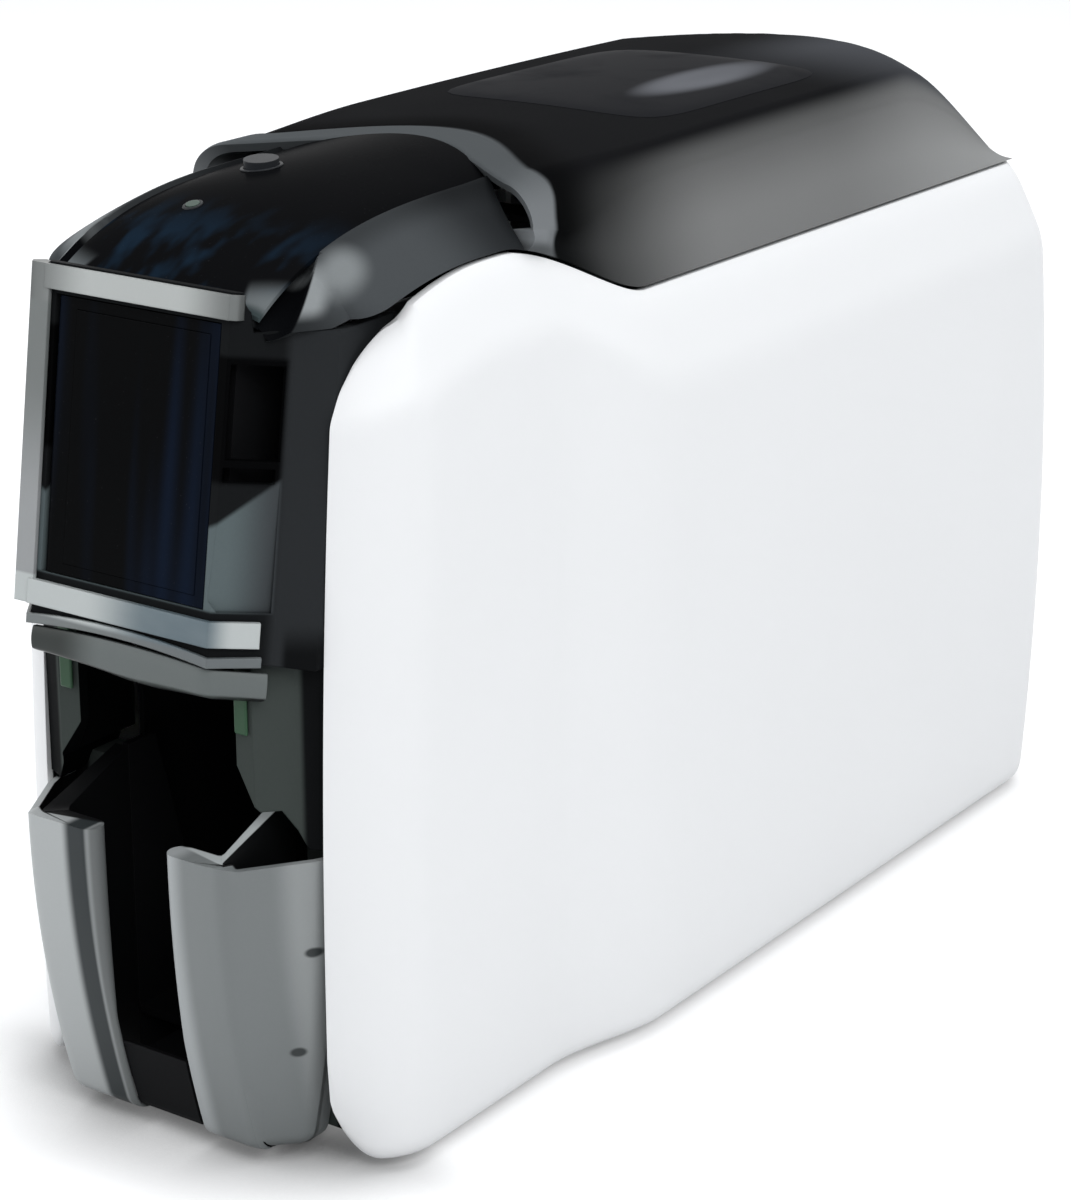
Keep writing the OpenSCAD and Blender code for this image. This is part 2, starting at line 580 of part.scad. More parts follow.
// Dark tray between the jaws: raised floor, front lip, side walls on runners and rear wall
module output_hopper() {
    wx = hopper_well;
    lip_y = front_y + 1.5;
    color("#2a2c2f") {
        difference() {
            side_view([[hopper_rear_y, hopper_foot], [hopper_rear_y, 46], [front_y + 58, 64], [front_y + 46, jaw_h + jaw_ridge],
                       [jaw_rear_y + 0.5, jaw_h + jaw_ridge], [jaw_rear_y + 0.5, hopper_foot]], -hopper_half, hopper_half);
            box([-wx, front_y, tray_floor_z], [wx, hopper_rear_y - 2, 130]);
            box([-wx + 6, hopper_rear_y - 3, tray_floor_z], [wx - 6, hopper_rear_y + 1, 130]);
            // the side walls are thin above the runners, and the floor is hollow beneath
            both() box([wx + 2.2, front_y, hopper_foot + 8], [hopper_half + 1, hopper_rear_y + 1, 130]);
            box([-wx, front_y, hopper_foot - 1], [wx, hopper_rear_y - 2, tray_floor_z - 2.4]);
        }
        // floor and lip between the jaws
        side_view(concat([[jaw_rear_y + 1, tray_floor_z - 2.4]], [[jaw_out(tray_floor_z) + 7, tray_floor_z - 2.4]],
                         [for (z = [hopper_foot + 1:1.5:lip_z]) [lip_y + 2.5 + jaw_back(z), z]],
                         [for (z = [lip_z:-1.5:hopper_foot - 1]) [lip_y + jaw_back(z), z]], []),
                  -jaw_slot_w / 2 + fit, jaw_slot_w / 2 - fit);
    }
}

module touch_tabs() {
    color("#3f9a58") both() box([cheek_x + 1.2, front_y + 13.5, mouth_z - 9], [cheek_x + 5.4, front_y + 14.6, mouth_z - 2]);
}

bay_half = plate_x - 0.25;
bay_rear_y = hopper_rear_y + 6;
// Dark liner that the output hopper slides into
module hopper_bay() {
    color("#1d1e20") difference() {
        box([-bay_half, front_y + 49, 6 + eps], [bay_half, bay_rear_y, 140]);
        box([-bay_half + 1.6, front_y + 48, 7.6], [bay_half - 1.6, bay_rear_y - 1.6, 141]);
    }
}

module exit_chute() {
    color("#2b2d30") translate([0, front_y, 0]) intersection() {
        side_view([[116, 154], [88, 145.5], [38, 143], [38, 141], [88.5, 143.4], [117, 151.6]], -60, 60);
        union() {
            box([-plate_x + fit, 86, 130], [plate_x - fit, 126, 160]);
            box([-mouth_half + 0.2, 36, 130], [mouth_half - 0.2, 87, 160]);
        }
    }
}

// ---------------------------------------------------------------- lid
shell_front_drop = 3;            // how much lower the lid's front lip is
lid_band_w = 22;                 // raised band along the lid's front edge
lid_band_rise = 1.2;
function lid_rear_y(x) = hinge_y - 12 + 10 * (1 - pow(x / 70, 2));
function lid_edge_y(x) = hinge_y - 28 - 40 * pow(x / 60, 2);
inlay_t = 0.45;                  // how far the inlay stands proud of the lid
function lid_crown(y) = overall_h - inlay_t - 5 * pow((y - rear_y + 121) / 180, 2);
function lid_fall(x, y) = let (g = clamp01((lid_rear_y(x) - y) / (lid_rear_y(x) - lid_edge_y(x)))) 1 - pow(1 - g, 1.6);
// The panel's top edge stands off its plan path along the path's normal, so it lies a little
// further back than the plan point it belongs to.
function plan_slope(y) = (plan_half(y + 1) - plan_half(y - 1)) / 2;
function path_y(y) = y - band_lean * 1.08 * sin(atan(plan_slope(y)));
function lid_foot_x(y) = plan_half(path_y(y)) - band_lean * 1.05 * cos(atan(plan_slope(y))) - fit;
function lid_foot_z(y) = panel_top(path_y(y)) + cover_gap;

lid_rows = [0, 0.015, 0.03, 0.05, 0.07, 0.09, 0.11, 0.13, 0.155, 0.185, 0.25, 0.4, 0.54, 0.66, 0.74, 0.81, 0.87, 0.92, 0.96, 1];
// Half section, foot to crown: [kind, parameter]
lid_half = concat([for (s = [0:0.25:1]) [0, s]], [for (s = [0.25:0.25:1]) [1, s]], [for (s = [0.2:0.2:1]) [2, s]]);
function lid_point(h, v, inset) = let (
        x_guess = h[0] == 0 ? mix(68, shoulder_x, h[1]) : h[0] == 1 ? shoulder_x - shoulder_r * (1 - cos(90 * h[1]))
            : (shoulder_x - shoulder_r) * (1 - h[1]),
        y0 = arch_y(min(x_guess, shoulder_x - 1)) + inset,
        y1 = lid_rear_y(x_guess) - inset * 1.1,
        y = mix(y0, y1, v),
        sx = shoulder_x - inset,
        fx = lid_foot_x(y) - inset,
        foot = lid_foot_z(y),
        lip = shell_front_drop * (1 - ease((y - y0) / lid_band_w)),
        rise = lid_band_rise * (1 - ease((y - y0 - lid_band_w + 10) / 9)),
        flare = 1.4 * (1 - ease((y - y0 - 4) / 8)) - 1.8 * ease((y - y0 - 8) / 10) * (1 - ease((y - y0 - 22) / 40)),
        shoulder = lid_crown(y) - 3.5 - inset - lip + rise,
        r = min(shoulder_r, 0.55 * (shoulder - foot)),
        x = h[0] == 0 ? mix(fx, sx, pow(h[1], 1.2)) + flare * sin(180 * h[1]) : h[0] == 1 ? sx - r * (1 - cos(90 * h[1]))
            : (sx - r) * (1 - h[1]),
        z = h[0] == 0 ? mix(foot, shoulder - r, h[1])
            : h[0] == 1 ? shoulder - r + r * sin(90 * h[1])
            : shoulder + 3.5 * (1 - pow(x / (sx - r), 2)),
        fall = lid_fall(x_guess, y + inset * 1.1))
    [x, y, foot + (z - foot) * fall];
function lid_grid(inset) = [for (v = lid_rows)
    concat([for (h = lid_half) lid_point(h, v, inset)],
           [for (k = [len(lid_half) - 2:-1:0]) let (p = lid_point(lid_half[k], v, inset)) [-p[0], p[1], p[2]]])];

module lid_shell() {
    color("#26282b") grid_shell(lid_grid(0), lid_grid(cover_wall));
}

// Height of the lid's outer skin near its middle
function lid_skin(x, y) = lid_crown(y) - 3.5 + 3.5 * (1 - pow(x / (shoulder_x - shoulder_r), 2));

module lid_inlay() {
    color("#15161a") grid_shell(
        [for (v = [0:0.2:1]) [for (u = [1:-0.25:-1]) let (x = u * 42, y = mix(platen_y - 34, hinge_y - 92, v)) [x, y, lid_skin(x, y) + inlay_t]]],
        [for (v = [0:0.2:1]) [for (u = [1:-0.25:-1]) let (x = u * 42, y = mix(platen_y - 34, hinge_y - 92, v)) [x, y, lid_skin(x, y) + 0.02]]]);
}

liner_z = 246;
liner_bosses = [[40, platen_y - 66], [40, platen_y + 14], [40, hinge_y - 88], [0, platen_y - 60], [0, hinge_y - 68]];
arm_x0 = plate_out + 0.4;
arm_x1 = arm_x0 + 4;
module lid_liner() {
    color("#3a3c40") difference() {
        union() {
            box([-54, platen_y - 84, liner_z], [54, hinge_y - 54, liner_z + 2]);
            for (b = liner_bosses) {
                both() translate([b[0], b[1], liner_z]) cylinder(r = 4, h = lid_skin(b[0] + 4, b[1]) - cover_wall - 2 * fit - liner_z, $fn = 32);
            }
            both() side_view([[hinge_y - 68, liner_z], [hinge_y - 68, liner_z + 2], [hinge_y - 36, liner_z + 2],
                              [hinge_y - 29, hinge_z + 13], [hinge_y - 11, hinge_z + 1.3], [hinge_y - 6, hinge_z + 1.3],
                              [hinge_y - 3, hinge_z + 4], [hinge_y, hinge_z + 4.5], [hinge_y, hinge_z - 4.5],
                              [hinge_y - 5, hinge_z - 4], [hinge_y - 38, hinge_z + 9]], arm_x0, arm_x1);
            both() bar_x(4.5, arm_x0, arm_x1, hinge_y, hinge_z);
        }
        both() bar_x(hinge_pin_r + running_gap, arm_x0 - 1, arm_x1 + 1, hinge_y, hinge_z);
        // window over the ribbon bay
        box([-30, platen_y - 72, liner_z - 1], [30, platen_y - 20, liner_z + 3]);
        box([-30, platen_y + 24, liner_z - 1], [30, platen_y + 80, liner_z + 3]);
    }
}

module hinge_pins() {
    color("silver") both() bar_x(hinge_pin_r, plate_x - 3, arm_x1 + 0.5, hinge_y, hinge_z);
}

// ---------------------------------------------------------------- print head on the lid
head_half = 31;
head_gap = 1.1;                  // head above the platen with no card between them
module head_bracket() {
    color("#8f9396") difference() {
        union() {
            box([-head_half, platen_y - 9, liner_z - 2], [head_half, platen_y + 9, liner_z - eps]);
            box([-head_half, platen_y + 4, card_path_z + 16], [head_half, platen_y + 6, liner_z - 1]);
            both() box([head_half - 2, platen_y - 8, card_path_z + 10], [head_half, platen_y + 6, liner_z - 1]);
        }
        both() bar_x(2, head_half - 4, head_half + 2, platen_y, card_path_z + 30);
    }
}

module print_head() {
    color("#c8b48a") {
        box([-head_half + 2.3, platen_y - 8, card_path_z + 4], [head_half - 2.3, platen_y + 3.7, card_path_z + 16]);
        box([-head_half + 4, platen_y - 5, card_path_z + head_gap], [head_half - 4, platen_y + 3, card_path_z + 4]);
    }
}

// ---------------------------------------------------------------- ribbon
spool_z = 198;
takeup_y = platen_y - spool_pitch / 2;
supply_y = platen_y + spool_pitch / 2;
frame_x = plate_x - 0.35;
frame_wall = 2.4;
spool_pin_r = 4;
module ribbon_frame() {
    color("#6d7176") difference() {
        union() {
            both() side_view([[takeup_y - 16, 184], [takeup_y - 16, 214], [takeup_y + 16, 214], [takeup_y + 26, 190],
                              [supply_y - 30, 190], [supply_y - 20, 218], [supply_y + 21, 218], [supply_y + 21, 180],
                              [supply_y - 10, 173], [supply_y - 20, 171.5], [takeup_y + 20, 171.5], [takeup_y + 8, 173]],
                             frame_x - frame_wall, frame_x);
            bar_x(3, -frame_x + 1, frame_x - 1, takeup_y + 22, 177);
            bar_x(3, -frame_x + 1, frame_x - 1, supply_y - 22, 177);
        }
        both() bar_x(spool_pin_r + running_gap, frame_x - frame_wall - 1, frame_x + 1, takeup_y, spool_z);
        both() bar_x(spool_pin_r + running_gap, frame_x - frame_wall - 1, frame_x + 1, supply_y, spool_z);
    }
}

module spool(y) {
    difference() {
        union() {
            bar_x(6.5, -32.5, 32.5, y, spool_z);
            bar_x(spool_pin_r, -frame_x, frame_x, y, spool_z);
            both() bar_x(9, 31, 32.5, y, spool_z);
        }
        bar_x(2, -40, 40, y, spool_z);
        for (a = [0:60:300]) {
            translate([0, y, spool_z]) rotate([a, 0, 0]) box([frame_x - 2, 2.6, -0.5], [frame_x + 1, 5, 0.5]);
        }
    }
}

module roll(y, r) {
    difference() {
        bar_x(r, -29.5, 29.5, y, spool_z);
        bar_x(6.55, -30, 30, y, spool_z);
    }
}

module supply_spool() {
    color("white") spool(supply_y);
}

module supply_ribbon() {
    color("#c43b6a") roll(supply_y, supply_r);
}

module takeup_spool() {
    color("white") spool(takeup_y);
}

module takeup_ribbon() {
    color("#2d2a33") roll(takeup_y, takeup_r);
}

// ---------------------------------------------------------------- rollers and gears
module roller(y, r, half, z = roller_z) {
    bar_x(r, -half, half, y, z);
    bar_x(shaft_r, -plate_out - 1.2, gear_x + gear_w + 1.2, y, z);
}

// Tooth flank as a short polygon: tip, pitch and root points of each tooth
function gear_outline(teeth, tooth_at) = let (p = pitch_r(teeth), step = 360 / teeth, play = 0.08 * gear_module)
    [for (k = [0:teeth - 1]) let (c = tooth_at + k * step,
            root = p - 1.22 * gear_module, tip = p + 0.92 * gear_module,
            w_root = atan(((PI / 4 + 0.42) * gear_module - play) / root),
            w_pitch = atan((PI / 4 * gear_module - play) / p),
            w_tip = atan(((PI / 4 - 0.4) * gear_module - play) / tip))
        each [[root * cos(c - w_root), root * sin(c - w_root)], [p * cos(c - w_pitch), p * sin(c - w_pitch)],
              [tip * cos(c - w_tip), tip * sin(c - w_tip)], [tip * cos(c + w_tip), tip * sin(c + w_tip)],
              [p * cos(c + w_pitch), p * sin(c + w_pitch)], [root * cos(c + w_root), root * sin(c + w_root)]]];

module gear(teeth, y, z, tooth_at, bore_r) {
    translate([gear_x, y, z]) rotate([90, 0, 90]) difference() {
        linear_extrude(height = gear_w) polygon(gear_outline(teeth, tooth_at));
        translate([0, 0, -1]) cylinder(r = bore_r, h = gear_w + 2, $fn = 40);
        if (teeth > 30) {
            for (a = [0:60:300]) {
                rotate([0, 0, a]) translate([pitch_r(teeth) * 0.58, 0, -1]) cylinder(r = 4, h = gear_w + 2, $fn = 32);
            }
        }
    }
}

module drive_gear(y) {
    gear(drive_teeth, y, roller_z, 0, shaft_r + 0.02);
}

module pick_roller() {
    color("#3a3a3c") roller(pick_y, roller_r, 20);
}

module pick_gear() {
    color("ivory") drive_gear(pick_y);
}

module infeed_roller() {
    color("#3a3a3c") roller(infeed_y, roller_r - 0.2, 28);
}

module infeed_gear() {
    color("ivory") drive_gear(infeed_y);
}

module feed_roller() {
    color("#3a3a3c") roller(feed_y, roller_r - 0.2, 28);
}

module feed_gear() {
    color("ivory") drive_gear(feed_y);
}

module platen_roller() {
    color("#1f1f21") roller(platen_y, roller_r - 0.2, 29);
}

module platen_gear() {
    color("ivory") drive_gear(platen_y);
}

module outfeed_roller() {
    color("#3a3a3c") roller(outfeed_y, roller_r - 0.2, 28);
}

module outfeed_gear() {
    color("ivory") drive_gear(outfeed_y);
}

idler_pin_r = 2.5;
idlers = [[small_idler_teeth, infeed_y - small_step / 2], [small_idler_teeth, feed_y - small_step / 2],
          [big_idler_teeth, feed_y + big_step / 2], [big_idler_teeth, platen_y + big_step / 2]];
module idler(k) {
    gear(idlers[k][0], idlers[k][1], roller_z, 180 / idlers[k][0], idler_pin_r + running_gap);
}

module pick_idler() {
    color("ivory") idler(0);
}

module infeed_idler() {
    color("ivory") idler(1);
}

module platen_idler() {
    color("ivory") idler(2);
}

module outfeed_idler() {
    color("ivory") idler(3);
}

module idler_pins() {
    color("silver") for (i = idlers) {
        bar_x(idler_pin_r, plate_out, gear_x + gear_w + fit, i[1], roller_z);
        bar_x(idler_pin_r + 1.5, gear_x + gear_w + fit, gear_x + gear_w + 1.3, i[1], roller_z);
    }
}

clean_r = 6.5;
module cleaning_roller() {
    color("#7fb6c8") roller_top(infeed_y, clean_r);
}

module roller_top(y, r) {
    bar_x(r, -28, 28, y, card_path_z + 1 + r);
    bar_x(2.5, -plate_out - 0.5, plate_out + 0.5, y, card_path_z + 1 + r);
}

module pinch_roller() {
    color("#7d8083") roller_top(feed_y, 5);
}

// ---------------------------------------------------------------- motor
motor_half = 17.5;
module drive_motor() {
    color("#303236") {
        box([plate_x - 34, motor_y - motor_half, motor_z - motor_half], [plate_x - fit, motor_y + motor_half, motor_z + motor_half - 4]);
        bar_x(2.5, plate_x - 1, gear_x - 0.2, motor_y, motor_z);
    }
}

module motor_pinion() {
    color("#c9a545") {
        gear(pinion_teeth, motor_y, motor_z, 90 + 180 / pinion_teeth, 1.5);
        bar_x(1.5, gear_x, gear_x + gear_w + 1, motor_y, motor_z);
    }
}

// ---------------------------------------------------------------- chassis
plate_top = 226;
plate_foot = 7;
plate_front_y = front_y + 48;    // the upper part; the foot of a plate starts behind the output hopper
plate_foot_y = front_y + 102;
plate_profile = [[plate_front_y, 154], [plate_front_y, 238], [plate_foot_y, 238], [plate_foot_y + 8, plate_top - 2], [takeup_y - 24, plate_top - 2], [takeup_y - 18, 190],
                 [supply_y + 24, 190], [supply_y + 30, plate_top - 4], [hinge_y - 12, plate_top - 4], [hinge_y - 5, hinge_z - 2], [hinge_y - 3, hinge_z + 3.5],
                 [hinge_y, hinge_z + 5], [hinge_y + 4.5, hinge_z + 0.5], [hinge_y + 2.5, hinge_z - 5.5], [hinge_y - 8, hinge_z - 12],
                 [hinge_y - 8, plate_foot], [plate_foot_y, plate_foot], [plate_foot_y, 138], [plate_foot_y - 8, 154]];
top_shafts = [[infeed_y, clean_r], [feed_y, 5]];

module plate(right) {
    difference() {
        side_view(plate_profile, plate_x, plate_out);
        for (y = [pick_y, infeed_y, feed_y, platen_y, outfeed_y]) {
            bar_x(shaft_r + running_gap, plate_x - 1, plate_out + 1, y, roller_z);
        }
        for (s = top_shafts) {
            bar_x(2.5 + running_gap, plate_x - 1, plate_out + 1, s[0], card_path_z + 1 + s[1]);
        }
        bar_x(hinge_pin_r, plate_x - 1, plate_out + 1, hinge_y, hinge_z);
        if (right) bar_x(4, plate_x - 1, plate_out + 1, motor_y, motor_z);
        // lightening windows
        for (y = [-70, 0, 70, 130]) {
            translate([plate_x - 1, y, 62]) rotate([0, 90, 0]) cylinder(r = 22, h = plate_t + 2, $fn = 64);
        }
    }
}

module right_plate() {
    color("silver") plate(true);
}

module left_plate() {
    color("silver") mirror([1, 0, 0]) plate(false);
}

tie_spots = [[plate_foot_y + 8, 110], [hinge_y - 23, 40], [hinge_y - 23, 190], [plate_foot_y + 8, 20],
             [hinge_y - 38, 110], [feed_y + 10, 100]];
module tie_bars() {
    color("gray") for (t = tie_spots) {
        bar_x(4, -plate_x, plate_x, t[0], t[1]);
    }
}

module plate_screws() {
    color("silver") both() for (t = tie_spots) {
        bar_x(3.5, plate_out, plate_out + 0.7, t[0], t[1]);
    }
}

pan_half = front_half_w - cover_wall - 3.2;
module base_pan() {
    color("#3a3c40") difference() {
        union() {
            box([-pan_half, plate_front_y, 3], [pan_half, rear_y - 14, 6]);
            // side walls
            both() box([pan_half - 2.5, plate_front_y + 2, 3], [pan_half, rear_y - 14, 22]);
            // rails that carry the side plates
            both() box([plate_x - 3, bay_rear_y + fit, 5], [plate_x, hinge_y - 8, 14]);
            // lugs that carry the wide part of the panels
            for (y = [-30, 60, 150]) {
                both() box([pan_half - 2, y - 6, 8], [half_w - cover_wall - fit - 0.4, y + 6, 16]);
            }
        }
        for (f = foot_spots) {
            both() translate([f[0], f[1], 2]) cylinder(r = foot_r + 0.2, h = 2.5, $fn = 40);
        }
    }
}

foot_r = 9;
foot_spots = [[42, front_y + 60], [56, front_y + 156], [56, rear_y - 56]];
module feet() {
    color("#1c1c1e") for (f = foot_spots) {
        both() translate([f[0], f[1], 0]) cylinder(r = foot_r, h = 4.5, $fn = 40);
    }
}

// ---------------------------------------------------------------- rear
rear_half = half_w - rear_corner_x - fit;
ledge_z = hinge_z - 6.5;
rear_side = concat(
    [for (z = [8:12:212]) [rear_y + rear_bow(z) - 0.4, z]],
    [[rear_y - 14.6, ledge_z], [hinge_y - 7, ledge_z], [hinge_y - 7, ledge_z - 2.5], [rear_y - 16, ledge_z - 2.5]],
    [for (z = [206:-12:8]) [rear_y + rear_bow(z) - 0.4 - cover_wall, z]]);
module rear_cover() {
    color("#2c2e31") {
        difference() {
            side_view(rear_side, -rear_half, rear_half);
            // notches for the plates and the lid's arms
            both() box([plate_x - fit, hinge_y - 8, ledge_z - 10], [arm_x1 + 0.6, rear_y - 15.6, ledge_z + 2]);
            box(recess_low - [1.5, 20, 1.5], recess_high + [1.5, 10, 1.5]);
        }
        // bead along the hinge axis that closes the gap under the lid's rear edge
        bar_x(2.4, -bead_half, bead_half, hinge_y, hinge_z);
        box([-bead_half, hinge_y - 1.2, ledge_z - 1], [bead_half, hinge_y + 1.2, hinge_z]);
    }
}

// Recess that the sockets look through: its inside corners
recess_low = [-rear_half + 2, rear_y - 12.5, 34];
recess_high = [-24, rear_y, 100];
bead_half = arm_x0 - 6;
module socket_bezel() {
    color("#1c1d20") difference() {
        box(recess_low - [1.3, 1.5, 1.3], [recess_high[0] + 1.3, rear_y - 5, recess_high[2] + 1.3]);
        box(recess_low, recess_high);
        for (s = sockets) {
            translate([board_x - board_t - s[0] / 2, rear_y - 20, s[1]])
                box([-s[0] / 2 - fit, 0, -s[2] / 2 - fit], [s[0] / 2 + fit, 12, s[2] / 2 + fit]);
        }
    }
}

// [height off the board, z, size along z] of the power, network and USB sockets
sockets = [[11, 46, 12], [13, 66, 16], [11, 87, 11]];
module rear_sockets() {
    color("#8b8f93") for (s = sockets) {
        translate([board_x - board_t - s[0] / 2, 0, s[1]]) difference() {
            box([-s[0] / 2, rear_y - 28, -s[2] / 2], [s[0] / 2, rear_y - 10, s[2] / 2]);
            box([-s[0] / 2 + 1.2, rear_y - 24, -s[2] / 2 + 1.2], [s[0] / 2 - 1.2, rear_y - 9, s[2] / 2 - 1.2]);
        }
    }
}

board_x = -plate_out - 4;
board_t = 1.6;
module main_board() {
    color("#1f6b3a") {
        box([board_x - board_t, -60, 30], [board_x, rear_y - 22, 118]);
        for (p = [[-52, 40], [-52, 112], [128, 40], [128, 112]]) {
            bar_x(2.5, board_x - eps, -plate_out, p[0], p[1]);
        }
        box([board_x - 4.5, 0, 60], [board_x - 1.5, 30, 90]);
        box([board_x - 4, 60, 50], [board_x - 1.5, 84, 66]);
        box([board_x - 9, 100, 84], [board_x - 1.5, 130, 100]);
        for (y = [-40:14:-12]) {
            translate([board_x - 9, y, 74]) rotate([0, 90, 0]) cylinder(r = 4, h = 7.5, $fn = 32);
        }
    }
}

base_pan();
feet();
right_panel();
left_panel();
rear_cover();
front_fascia();
hopper_trim();
console_cover();
console_deck();
power_button();
status_light();
right_plate();
left_plate();
tie_bars();
plate_screws();
card_tray();
card_weight();
input_door();
door_window();
output_hopper();
hopper_jaws();
touch_tabs();
hopper_bay();
exit_chute();
lid_shell();
lid_inlay();
lid_liner();
hinge_pins();
head_bracket();
print_head();
ribbon_frame();
supply_spool();
supply_ribbon();
takeup_spool();
takeup_ribbon();
pick_roller();
pick_gear();
infeed_roller();
infeed_gear();
feed_roller();
feed_gear();
platen_roller();
platen_gear();
outfeed_roller();
outfeed_gear();
pick_idler();
infeed_idler();
platen_idler();
outfeed_idler();
idler_pins();
cleaning_roller();
pinch_roller();
drive_motor();
motor_pinion();
main_board();
rear_sockets();
socket_bezel();
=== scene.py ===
"""Looks of a slim desktop ID card printer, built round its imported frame.

Side panels, console, lid and hopper jaws are surfaces worked out with numpy on the same guide
curves as the frame; every other part keeps its own shape and is dressed here.
"""
import logging
import math
from dataclasses import dataclass, field
from enum import Enum
from typing import Optional, Sequence, Union

import bpy
import numpy as np
from mathutils import Matrix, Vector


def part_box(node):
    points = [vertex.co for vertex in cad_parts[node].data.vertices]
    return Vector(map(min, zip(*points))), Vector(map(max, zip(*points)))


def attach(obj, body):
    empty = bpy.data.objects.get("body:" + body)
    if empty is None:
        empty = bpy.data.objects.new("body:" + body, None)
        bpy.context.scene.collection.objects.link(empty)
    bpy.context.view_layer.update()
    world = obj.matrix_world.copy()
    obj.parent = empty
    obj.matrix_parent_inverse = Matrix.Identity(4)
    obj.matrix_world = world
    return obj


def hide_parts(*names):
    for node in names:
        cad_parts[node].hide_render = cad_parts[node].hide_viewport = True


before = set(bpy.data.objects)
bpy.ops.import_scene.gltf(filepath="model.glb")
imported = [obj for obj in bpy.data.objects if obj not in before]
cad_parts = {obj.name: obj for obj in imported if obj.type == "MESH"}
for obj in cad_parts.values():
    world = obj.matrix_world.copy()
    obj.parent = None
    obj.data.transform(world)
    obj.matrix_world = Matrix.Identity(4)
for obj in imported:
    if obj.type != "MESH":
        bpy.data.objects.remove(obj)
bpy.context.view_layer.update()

MM = 0.001
log = logging.getLogger("card_printer")

Array = np.ndarray
Colour = tuple[float, float, float]
Vector3 = tuple[float, float, float]


class Axis(Enum):
    """A direction of the object."""

    ACROSS = "X"
    BACK = "Y"
    UP = "Z"


class Hand(Enum):
    """Which side of the middle a piece is on; pieces are drawn for the right."""

    RIGHT = "right"
    LEFT = "left"


# ---------------------------------------------------------------- shader expressions
class Wire:
    """A node socket that can be used in Python arithmetic."""

    def __init__(self, graph: "Graph", socket: bpy.types.NodeSocket) -> None:
        """Keeps the graph that owns the socket, and the socket."""
        self.graph = graph
        self.socket = socket

    def _math(self, operation: str, first: "Term", second: "Term" = 0.0) -> "Wire":
        """Adds one Math node.

        Args:
            operation: name of the Math operation.
            first: left operand, a wire or a number.
            second: right operand, a wire or a number.
        Returns:
            The node's result.
        """
        node = self.graph.make("ShaderNodeMath", {"operation": operation}, {0: first, 1: second})
        return Wire(self.graph, node.outputs[0])

    def __add__(self, other: "Term") -> "Wire":
        """Sum."""
        return self._math("ADD", self, other)

    def __radd__(self, other: "Term") -> "Wire":
        """Reflected sum."""
        return self._math("ADD", other, self)

    def __sub__(self, other: "Term") -> "Wire":
        """Difference."""
        return self._math("SUBTRACT", self, other)

    def __rsub__(self, other: "Term") -> "Wire":
        """Reflected difference."""
        return self._math("SUBTRACT", other, self)

    def __mul__(self, other: "Term") -> "Wire":
        """Product."""
        return self._math("MULTIPLY", self, other)

    def __rmul__(self, other: "Term") -> "Wire":
        """Reflected product."""
        return self._math("MULTIPLY", other, self)

    def __truediv__(self, other: "Term") -> "Wire":
        """Quotient."""
        return self._math("DIVIDE", self, other)

    def __pow__(self, other: "Term") -> "Wire":
        """Power."""
        return self._math("POWER", self, other)

    def absolute(self) -> "Wire":
        """Distance from zero."""
        return self._math("ABSOLUTE", self)

    def wave(self) -> "Wire":
        """Sine."""
        return self._math("SINE", self)

    def most(self, other: "Term") -> "Wire":
        """Larger of two."""
        return self._math("MAXIMUM", self, other)

    def ramp(self, low: float, high: float) -> "Wire":
        """Smooth step that is 0 at low and 1 at high.

        Args:
            low: value that gives 0.
            high: value that gives 1.
        Returns:
            The stepped value, held to 0..1.
        """
        node = self.graph.make("ShaderNodeMapRange", {"interpolation_type": "SMOOTHSTEP"},
                               {0: self, 1: low, 2: high, 3: 0.0, 4: 1.0})
        return Wire(self.graph, node.outputs[0])


Term = Union[Wire, float]


